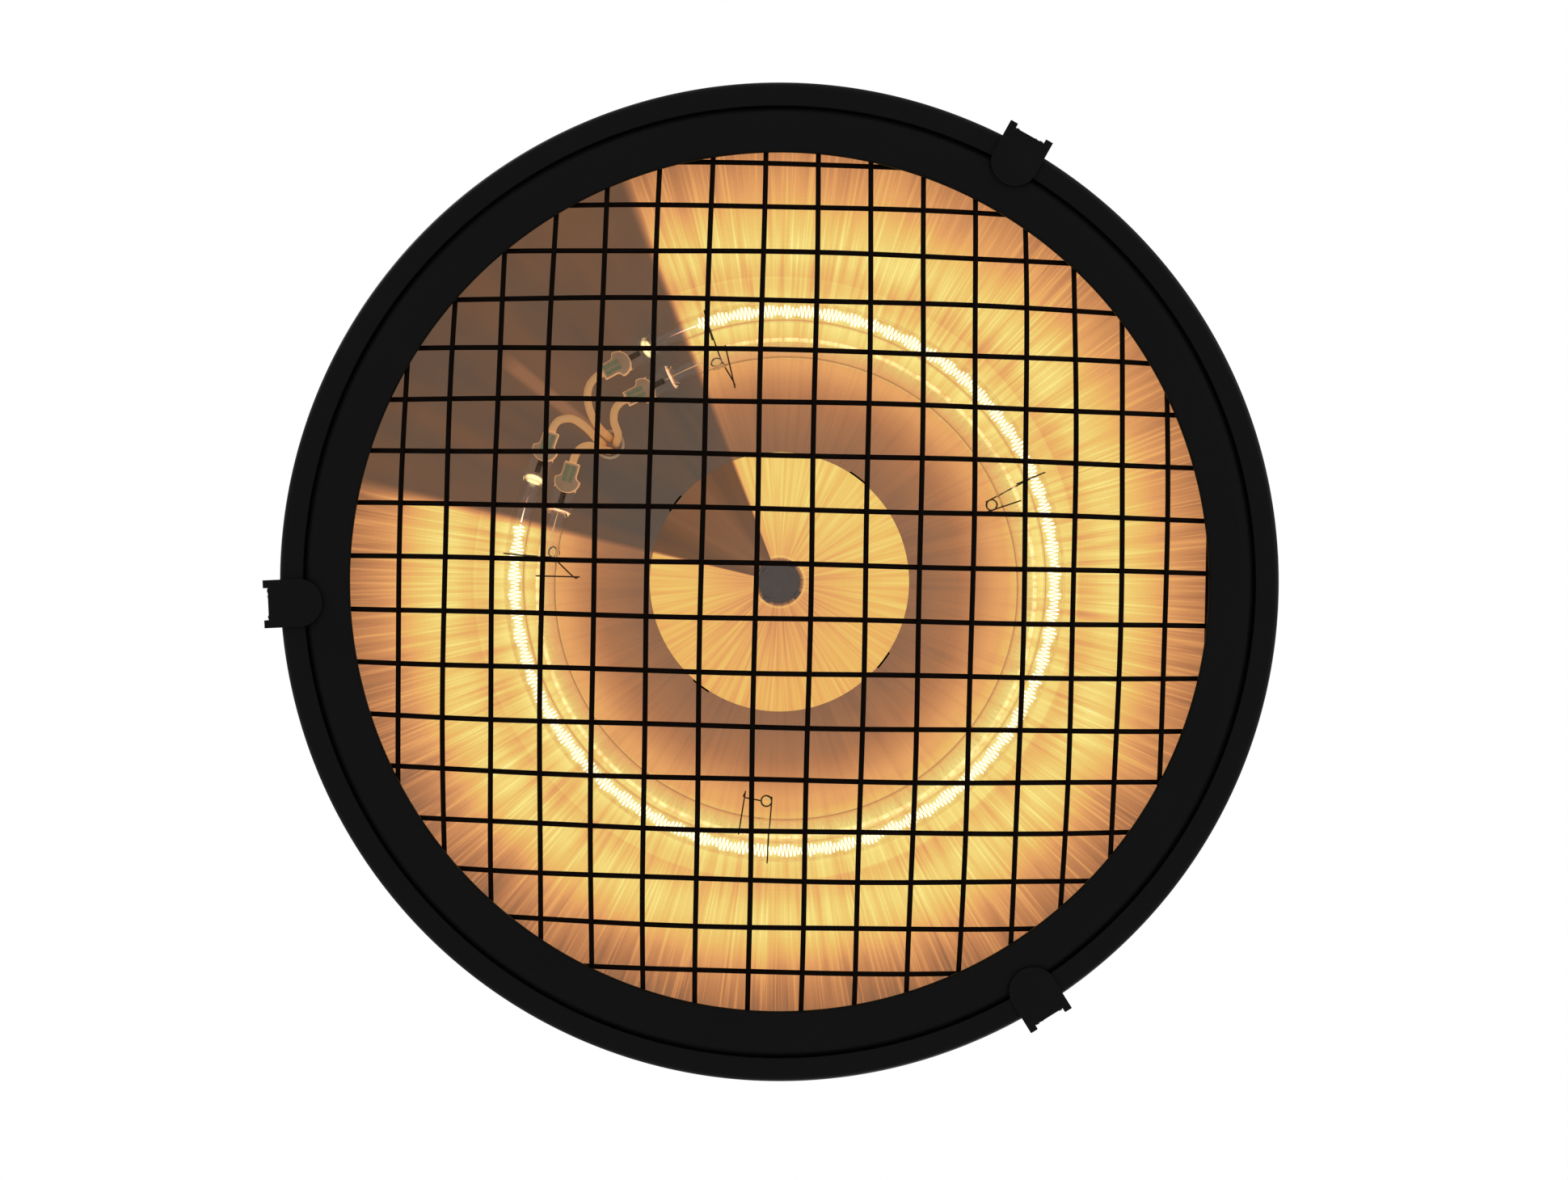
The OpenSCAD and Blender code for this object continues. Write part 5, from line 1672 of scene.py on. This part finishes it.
        # The third number of each row is the strength of the painted lamp light there
        edge = ((-3.5, 1.0, 0.14), (-3.3, 0.35, 0.5), (-2.9, 0.0, 1.0))  # height, inset, rim
        edge += tuple((-h, inset, rim) for h, inset, rim in edge[::-1])
        for h, inset, _ in edge:
            level = centre + (plan - centre) * (1 - inset / 7.0)
            rows.append(origin + level[:, :1] * past + level[:, 1:] * out + h * UP)
            patch = level - (middle + 3.2, 0.0)
            uv.append(patch if h < -3.2 else patch + 50.0)
        rim = np.repeat([rim for _, _, rim in edge], len(plan))
        skin = swept(np.array(rows), {"patch": np.vstack(uv), "rim": rim})
        node = f"lamp_cap_{number}"
        make_piece(f"{node}_ceramic", skin, CAP, Body.HOUSING, [node], 40)
        return origin + past * (body_end + 0.05)


@dataclass
class Wiring:
    """Four sleeved leads from the lamps' caps to the terminals, and the bushing they share."""

    bushing: tuple[float, float] = (-79.66, -64.51)
    bore: float = 5.6  # radii of the bushing
    neck: float = 7.0
    flange: float = 8.4
    floor_h: float = FLOOR_H
    lead_r: float = 1.8
    spread: float = 3.04  # from the bundle's middle to a lead's middle
    turns: tuple[float, ...] = (267, 357, 177, 87)  # direction of each lead in the bundle, degrees
    # From each cap to the bushing
    fronts: tuple[Course, ...] = (
        ((-84.8, -94.6, 45.4), (-87.8, -91, 46.6), (-89, -85.5, 49.5), (-87.5, -78, 54),
         (-84, -71.8, 60), (-80.5, -68.4, 66)),
        ((-73.8, -82.6, 45.5), (-76.2, -79.4, 47.5), (-76.8, -74.4, 52), (-75.2, -69, 58.5),
         (-76, -65.8, 65)),
        ((-104.1, -72.3, 45.3), (-101.2, -75, 46.8), (-95.6, -75.4, 50), (-90, -71.8, 55),
         (-85.8, -67.2, 61), (-83.2, -64.8, 66)),
        ((-94.2, -58.8, 45.3), (-91.8, -62, 47.2), (-87.8, -63.2, 51.5), (-83, -61.6, 58.5),
         (-79.9, -61.3, 66)),
    )
    # The bundle's middle, and what share of the spread it keeps there
    trunk: Course = (
        (-79.66, -64.51, 72, 1), (-79.66, -64.51, 78, 1), (-79.4, -64.3, 84, 1.35),
        (-75.5, -61, 92, 1.65), (-66, -53.5, 103, 1.7), (-50, -40.5, 119, 1.7),
        (-38.5, -31.1, 131, 1.7), (-33, -26.6, 139.5, 1.45), (-31, -25, 148, 1),
    )
    # From the grommet of the can to each terminal
    tails: tuple[Course, ...] = (
        ((-31.2, -28.1, 153.6), (-27, -31, 157.2), (2, -31, 158), (12, -26, 158), (16.5, -17, 158),
         (16.5, -9.4, 158)),
        ((-28, -25.2, 153.6), (-23, -26, 157.2), (-4, -24.5, 158), (3.6, -18.5, 158),
         (5.5, -9.6, 158)),
        ((-34, -24.8, 153.6), (-35.8, -21.6, 156.8), (-33.4, -17, 158), (-26, -15.2, 158),
         (-20.2, -14.9, 158), (-17.7, -13.1, 158), (-17.5, -9.6, 158)),
        ((-30.9, -21.8, 153.6), (-26.8, -19.9, 157.4), (-12, -18.5, 158), (-6.8, -14.5, 158),
         (-5.5, -9.7, 158)),
    )

    def lead(self, i: int, start: np.ndarray) -> Skin:
        """One lead on a smooth curve through its points.

        The arms of its circle are carried from each point to the next by taking off their part
        along the tangent, so the sleeve doesn't twist.

        Args:
            i: Number of the lead, from 0.
            start: Where it leaves its cap.

        Returns:
            Skin of the lead.
        """
        c, s = heading(self.turns[i])
        trunk = [
            (x + share * self.spread * c, y + share * self.spread * s, h)
            for x, y, h, share in self.trunk
        ]
        path = smooth_path([tuple(start), *self.fronts[i], *trunk, *self.tails[i]], 7)
        tangent = np.gradient(path, axis=0)
        tangent /= np.linalg.norm(tangent, axis=1, keepdims=True)
        arms = [np.cross(tangent[0], UP)]
        for t in tangent[1:]:
            arm = arms[-1] - np.dot(arms[-1], t) * t
            arms.append(arm / np.linalg.norm(arm))
        return tube(path, self.lead_r, 16, np.array(arms))

    def ferrule(self) -> Skin:
        """Ceramic bushing: a sleeve with a rounded mouth and a flange behind the mirror.

        Returns:
            Closed skin.
        """
        h = self.floor_h
        outline = [
            (self.neck, h - 3), (self.neck, h + 1), (self.flange, h + 1), (self.flange, h + 2.5),
            (self.neck, h + 2.5), (self.neck, h + 4), (self.bore, h + 4), (self.bore, h - 3),
        ]
        skin = lathe(rounded(outline, 0.6, 5), 64)
        skin.points += (*self.bushing, 0.0)
        return skin

    def build(self, starts: Sequence[np.ndarray]) -> None:
        """Make the leads and the bushing.

        Args:
            starts: Rear of each cap.
        """
        for i, start in enumerate(starts):
            skin, node = self.lead(i, start), f"lamp_lead_{i + 1}"
            make_piece(f"lead_{i + 1}_sleeve", skin, SLEEVE, Body.HOUSING, [node], 60)
        make_piece("lead_bushing_ferrule", self.ferrule(), CERAMIC, Body.HOUSING, ["lead_bushing"])


@dataclass
class Supports:
    """Wire springs that hold the two lamps, and the hollow posts that they grip."""

    angles: tuple[float, ...] = (254.0, 340.1, 93.4, 187.5)  # directions of the posts, degrees
    post_at: tuple[float, ...] = (105.5, 104.9, 102.0, 105.6)  # from the axis to each post
    outer_turn: tuple[float, ...] = (0.5, -2.5, -0.9, -1.6)  # degrees from the post to the hook
    inner_turn: tuple[float, ...] = (3.1, 1.3, 5.8, -6.1)
    reach: float = 15.5  # how far inside the inner tube's centre line its hook bends
    post_r: float = 2.0
    bore: float = 1.1
    tip_h: float = 51.4
    floor_h: float = FLOOR_H
    lamp_h: float = LAMP_H
    wire_d: float = 0.7
    clear: float = 0.3  # between a wire and its tube
    loop_h: tuple[float, float] = (55.0, 52.4)  # height of the outer and the inner spring's loop

    def loop(self, i: int, way: int, turn: float, h: float) -> np.ndarray:
        """Three quarters of a loop round a post, drawn along +X.

        Args:
            i: Number of the post, from 0.
            way: +1 where the wire leaves outward, -1 where it leaves inward.
            turn: Turn of the hook, whose sign gives the side that the wire leaves on.
            h: Height of the loop.

        Returns:
            Points of the loop.
        """
        r = self.post_r + 0.1 + self.wire_d / 2
        a = np.radians(np.arange(360, 89, -30))
        out, side = self.post_at[i] + way * r * np.cos(a), math.copysign(r, turn) * np.sin(a)
        return np.column_stack([out, side, np.full(len(a), h)])

    def hook(self, i: int, lamp: RingLamp, inner: bool) -> np.ndarray:
        """Path of one spring: its loop, a run, and a hook round its lamp's tube.

        The outer lamp's spring passes behind both tubes and round the outer side. The inner
        lamp's runs inward from the post, back in front of the tube and up its outer side.

        Args:
            i: Number of the post, from 0.
            lamp: The lamp that it holds.
            inner: Whether that is the inner lamp.

        Returns:
            Points of the path, in the frame's directions.
        """
        turn = (self.inner_turn if inner else self.outer_turn)[i]
        at = lamp.ring_r + np.dot(lamp.centre, heading(self.angles[i] + turn))
        bend = lamp.tube_r + self.clear + self.wire_d / 2
        a = np.radians(np.arange(-90, -39, 10) if inner else np.arange(90, -91, -15))
        course = bend * np.column_stack([np.cos(a), np.sin(a)])
        if inner:
            flat = np.array([(3, 3), (0.8, 1.2), (0, -1.2), (0.8, -3.6), (3, -4.6)])
            course = np.vstack([flat - (self.reach, 0.0), course])
        else:
            course = np.vstack([course, [(-4, -bend), (-9, -bend - 1)]])
        out, up = course.T
        run = np.column_stack([at + out, 0 * out, self.lamp_h + up]) @ spin(turn)
        loop = self.loop(i, -1 if inner else 1, turn, self.loop_h[inner])
        return smooth_path(np.vstack([loop, run]) @ spin(self.angles[i]), 4)

    def build(self, lamps: Sequence[RingLamp]) -> None:
        """Make the springs and posts.

        Args:
            lamps: The outer and the inner lamp.
        """
        springs, posts = [], []
        tip, floor = self.tip_h, self.floor_h
        outline = [(self.post_r, tip), (self.post_r, floor), (self.bore, floor), (self.bore, tip)]
        outline = rounded(outline, 0.3, 4)
        for i, angle in enumerate(self.angles):
            turned = spin(angle)
            for lamp, inner in zip(lamps, (False, True)):
                hint = np.array([0.0, 1.0, 0.25]) @ turned
                springs.append(tube(self.hook(i, lamp, inner), self.wire_d / 2, 8, hint))
            post = lathe(outline, 32)
            post.points += np.array([self.post_at[i], 0.0, 0.0]) @ turned
            posts.append(post)
        wires = Skin.joined(springs)
        make_piece("lamp_spring_wires", wires, SPRING, Body.HOUSING, ["lamp_springs"], 60)
        make_piece("lamp_posts", Skin.joined(posts), POST, Body.HOUSING, ["spring_posts"])


@dataclass
class Clips:
    """Three sprung clips: pressed claw, riveted lug, pin and torsion spring."""

    angles: tuple[float, ...] = (58.2, 177.5, 299.3)  # directions of the clips, degrees
    pin_at: float = 229.8  # from the axis to a hinge pin
    pin_h: float = 14.0
    coil_r: float = 2.0
    wire_d: float = 0.7
    pitch: float = 1.2
    turns: int = 5
    lug_face: float = 226.4  # radius of the lug's outer face

    def spring(self, angle: float) -> Skin:
        """Torsion spring: one leg on the lug, a helix round the pin, one leg on the claw.

        Args:
            angle: Direction of the clip, degrees.

        Returns:
            Skin of the wire.
        """
        stop = -13.2 - 360 * self.turns
        width = self.pitch * (180 - stop) / 360
        share = np.linspace(0, 1, 160)
        a = np.radians(180 + (stop - 180) * share)
        r, at, h, half = self.coil_r, self.pin_at, self.pin_h, width / 2
        coil = np.column_stack([at + r * np.cos(a), width * (share - 0.5), h + r * np.sin(a)])
        lug = self.lug_face + 0.1 + self.wire_d / 2
        first = [(lug, -half, h - 3.4), (at - r, -half, h - 1.8)]
        last = [(at + 1.8, half, h - 4.2), (at + 0.9, half, h - 8)]
        turned = spin(angle)
        path = np.vstack([first, coil, last]) @ turned
        return tube(path, self.wire_d / 2, 8, np.array([0.0, 1.0, 0.0]) @ turned)

    def build(self, frame: dict) -> None:
        """Make the clips.

        Args:
            frame: The loaded frame.
        """
        claws = (Body.CLAW_1, Body.CLAW_2, Body.CLAW_3)
        for i, (angle, body) in enumerate(zip(self.angles, claws), 1):
            softened(frame, f"clip_claw_{i}", 0.8, POWDER, body, f"claw_{i}_pressing")
            wire, node = self.spring(angle), f"clip_spring_{i}"
            make_piece(f"clip_{i}_torsion_spring", wire, SPRING, Body.HOUSING, [node], 60)
        softened(frame, "clip_lugs", 0.3, POWDER, Body.HOUSING, "clip_lug_pressings")
        softened(frame, "clip_pins", 0.25, POWDER, Body.HOUSING, "clip_pin_ends")
        softened(frame, "clip_rivets", 0.35, POWDER, Body.HOUSING, "clip_rivet_heads")


@dataclass
class Fittings:
    """Hanger, clamp, terminal can and everything that sits on or in it."""

    # Pieces whose edges are rounded: node, width of the rounding in mm, finish and body
    soft: dict[str, tuple[float, Finish, Body]] = field(default_factory=lambda: {
        "hanger": (0.8, POWDER, Body.HANGER),
        "clamp_knob_left": (0.8, NYLON, Body.KNOB_LEFT),
        "clamp_knob_right": (0.8, NYLON, Body.KNOB_RIGHT),
        "pivot_bolts": (0.3, ZINC, Body.HOUSING),
        "pivot_washers": (0.3, ZINC, Body.HOUSING),
        "can": (0.35, POWDER, Body.HOUSING),
        "can_lid": (0.35, POWDER, Body.HOUSING),
        "lid_screws": (0.25, ZINC, Body.HOUSING),
        "gland_body": (0.3, NYLON, Body.HOUSING),
        "gland_nut": (0.4, NYLON, Body.HOUSING),
        "gland_seal": (0.3, RUBBER, Body.HOUSING),
        "selector_knob": (0.6, NYLON, Body.SELECTOR),
        "selector_nut": (0.25, ZINC, Body.HOUSING),
        "selector_switch": (0.5, MOULDING, Body.HOUSING),
        "terminal_block": (0.4, CERAMIC, Body.HOUSING),
        "reflector_rivets": (0.35, ZINC, Body.HOUSING),
    })
    # Hidden pieces that stay as they are in the frame: node and finish
    kept: dict[str, Finish] = field(default_factory=lambda: {
        "can_gasket": FIBRE,
        "can_rivets": ZINC,
        "gland_locknut": NYLON,
        "selector_shaft": ZINC,
        "terminal_screws": BRASS,
        "thermal_cutout": MOULDING,
        "lead_grommet": SILICONE,
        "heat_shield": SPUN_PLAIN,
        "shield_spacers": ZINC,
        "reflector_brackets": ZINC,
        "centre_stud": ZINC,
        "centre_nut": ZINC,
    })

    def build(self, frame: dict) -> None:
        """Round the edges of the visible pieces and dress the rest.

        Args:
            frame: The loaded frame.
        """
        for node, (width, finish, body) in self.soft.items():
            softened(frame, node, width, finish, body, f"{node}_finished")
        for node, finish in self.kept.items():
            dress_node(frame, node, finish)


# ---------------------------------------------------------------- studio


@dataclass
class Studio:
    """Camera at the photograph's angle, soft lights, white surroundings and a pale floor.

    Its sizes are metres, and the camera's sensor and lens are millimetres.
    """

    distance: float = 1.6  # from the rim's plane to the camera
    view_width: float = 0.7050  # width of the rim's plane that the picture takes in
    picture: tuple[int, int] = (1940, 1460)
    centre_px: tuple[float, float] = (964.3, 719.9)  # the heater's axis in the picture
    sensor: float = 36.0
    floor_z: float = -3.0
    floor_glow: float = 0.3
    far_glow: float = 0.66  # where the floor meets the white surroundings
    fade: tuple[float, float] = (3.5, 12.0)  # from the heater, between the two
    floor_half: float = 14.0
    ambient: float = 0.36  # strength of the surroundings as a light
    lights: tuple[tuple[str, tuple[float, float, float], float, float], ...] = (
        ("key", (-1.6, -1.8, 1.3), 1.2, 26.0),
        ("fill", (2.0, -1.2, -0.4), 1.4, 9.0),
        ("rear", (0.6, 2.1, 1.1), 1.2, 16.0),
    )  # name, place, length of its side, power in W

    def camera(self) -> None:
        """Look straight up along the axis, with the picture's top towards -Y."""
        data = bpy.data.cameras.new("camera")
        data.sensor_width = self.sensor
        data.lens = self.sensor * self.distance / self.view_width
        wide, high = self.picture
        data.shift_x = (wide / 2 - self.centre_px[0]) / wide
        data.shift_y = (self.centre_px[1] - high / 2) / wide
        camera = bpy.data.objects.new("camera", data)
        camera.location = (0.0, 0.0, -HANG_DROP / 1000 - self.distance)
        camera.rotation_euler = (math.pi, 0.0, 0.0)
        bpy.context.scene.collection.objects.link(camera)
        bpy.context.scene.camera = camera

    def world(self) -> None:
        """White where a camera, glossy or transmission ray looks, and dimmer as a light."""
        g = Graph(bpy.data.worlds.new("studio"))
        level = g.add("MapRange", {0: g.seen(), 3: self.ambient, 4: 1.0})
        light = g.add("Background", {"Color": (1.0, 1.0, 1.0, 1.0), "Strength": level})
        bpy.context.scene.world = g.finish(light, "OutputWorld")

    def light(self, name: str, place: Sequence[float], size: float, power: float) -> None:
        """Hang a soft square light that faces the heater.

        Args:
            name: Name of the light.
            place: Where it hangs, m.
            size: Length of its side, m.
            power: Its power, W.
        """
        data = bpy.data.lights.new(name, "AREA")
        data.shape, data.size, data.energy = "SQUARE", size, power
        lamp = bpy.data.objects.new(name, data)
        where = np.array(place, float)
        lamp.location = where
        x, y, z = np.array([0.0, 0.0, -0.2]) - where  # way to the middle of the shade
        turn, drop = math.atan2(y, x), math.atan2(-z, math.hypot(x, y))
        lamp.rotation_euler = (math.pi / 2 - drop, 0.0, turn - math.pi / 2)
        bpy.context.scene.collection.objects.link(lamp)

    def floor(self) -> None:
        """Lay a pale floor far below the heater."""
        size = self.floor_half
        points = [(-size, -size), (size, -size), (size, size), (-size, size)]
        mesh = bpy.data.meshes.new("floor")
        mesh.from_pydata([(*point, self.floor_z) for point in points], [], [(0, 1, 2, 3)])
        g = Graph(bpy.data.materials.new("pale studio floor"))
        place = g.add("TexCoord").outputs["Object"]
        cloud = g.add("TexNoise", {"Vector": place, "Scale": 0.6, "Detail": 2.0})
        stops = [(0.3, linear("#f0f0ee")), (0.7, linear("#f6f6f5"))]
        colour = g.add("ValToRGB", {0: cloud}, stops=stops)
        # Paler for the camera, in metal and through glass, without throwing light up on the heater
        out = g.add("VectorMath", {0: place}, operation="LENGTH").outputs["Value"]
        span = dict(enumerate((*self.fade, self.floor_glow, self.far_glow), 1))
        level = g.add("MapRange", {0: out} | span)
        glow = g.add("Math", {0: g.seen(), 1: level}, operation="MULTIPLY")
        values = {"Base Color": colour, "Roughness": 0.9}
        values |= {"Emission Color": (1, 1, 1, 1), "Emission Strength": glow}
        mesh.materials.append(g.finish(g.add("BsdfPrincipled", values)))
        floor = bpy.data.objects.new("floor", mesh)
        bpy.context.scene.collection.objects.link(floor)

    def build(self) -> None:
        """Make the studio."""
        self.camera()
        self.world()
        self.floor()
        for values in self.lights:
            self.light(*values)
        bpy.context.scene.view_settings.view_transform = "Standard"


def main() -> None:
    """Build the heater's looks round the frame."""
    logging.basicConfig(level=logging.INFO, format="%(name)s: %(message)s")
    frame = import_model()
    Studio().build()

    Shade().build()
    Guard().build()
    Mirror().build()
    outer = RingLamp(
        "outer_lamp", ring_r=124.8, centre=(2.4, -0.3), overrun=(9.9, 8.2), glass=OUTER_GLASS,
        wire=HOT_COIL, glint=(4.0, 2.2, 4.35),
    )
    inner = RingLamp(
        "inner_lamp", ring_r=111.1, centre=(3.1, 3.0), overrun=(7.5, 4.5), glass=INNER_GLASS,
        wire=COLD_COIL, glint=(4.4, 0.6, 6.2), coil_r=2.4, wire_d=0.14, pitch=2.4, swell=0.04,
        lit=False,
    )
    for lamp in (outer, inner):
        lamp.build()
    ends = ((outer, False), (inner, False), (outer, True), (inner, True))
    starts = [lamp.cap(number, last) for number, (lamp, last) in enumerate(ends, 1)]
    Wiring().build(starts)
    Supports().build((outer, inner))
    Clips().build(frame)
    Fittings().build(frame)


if __name__ == "__main__":
    main()
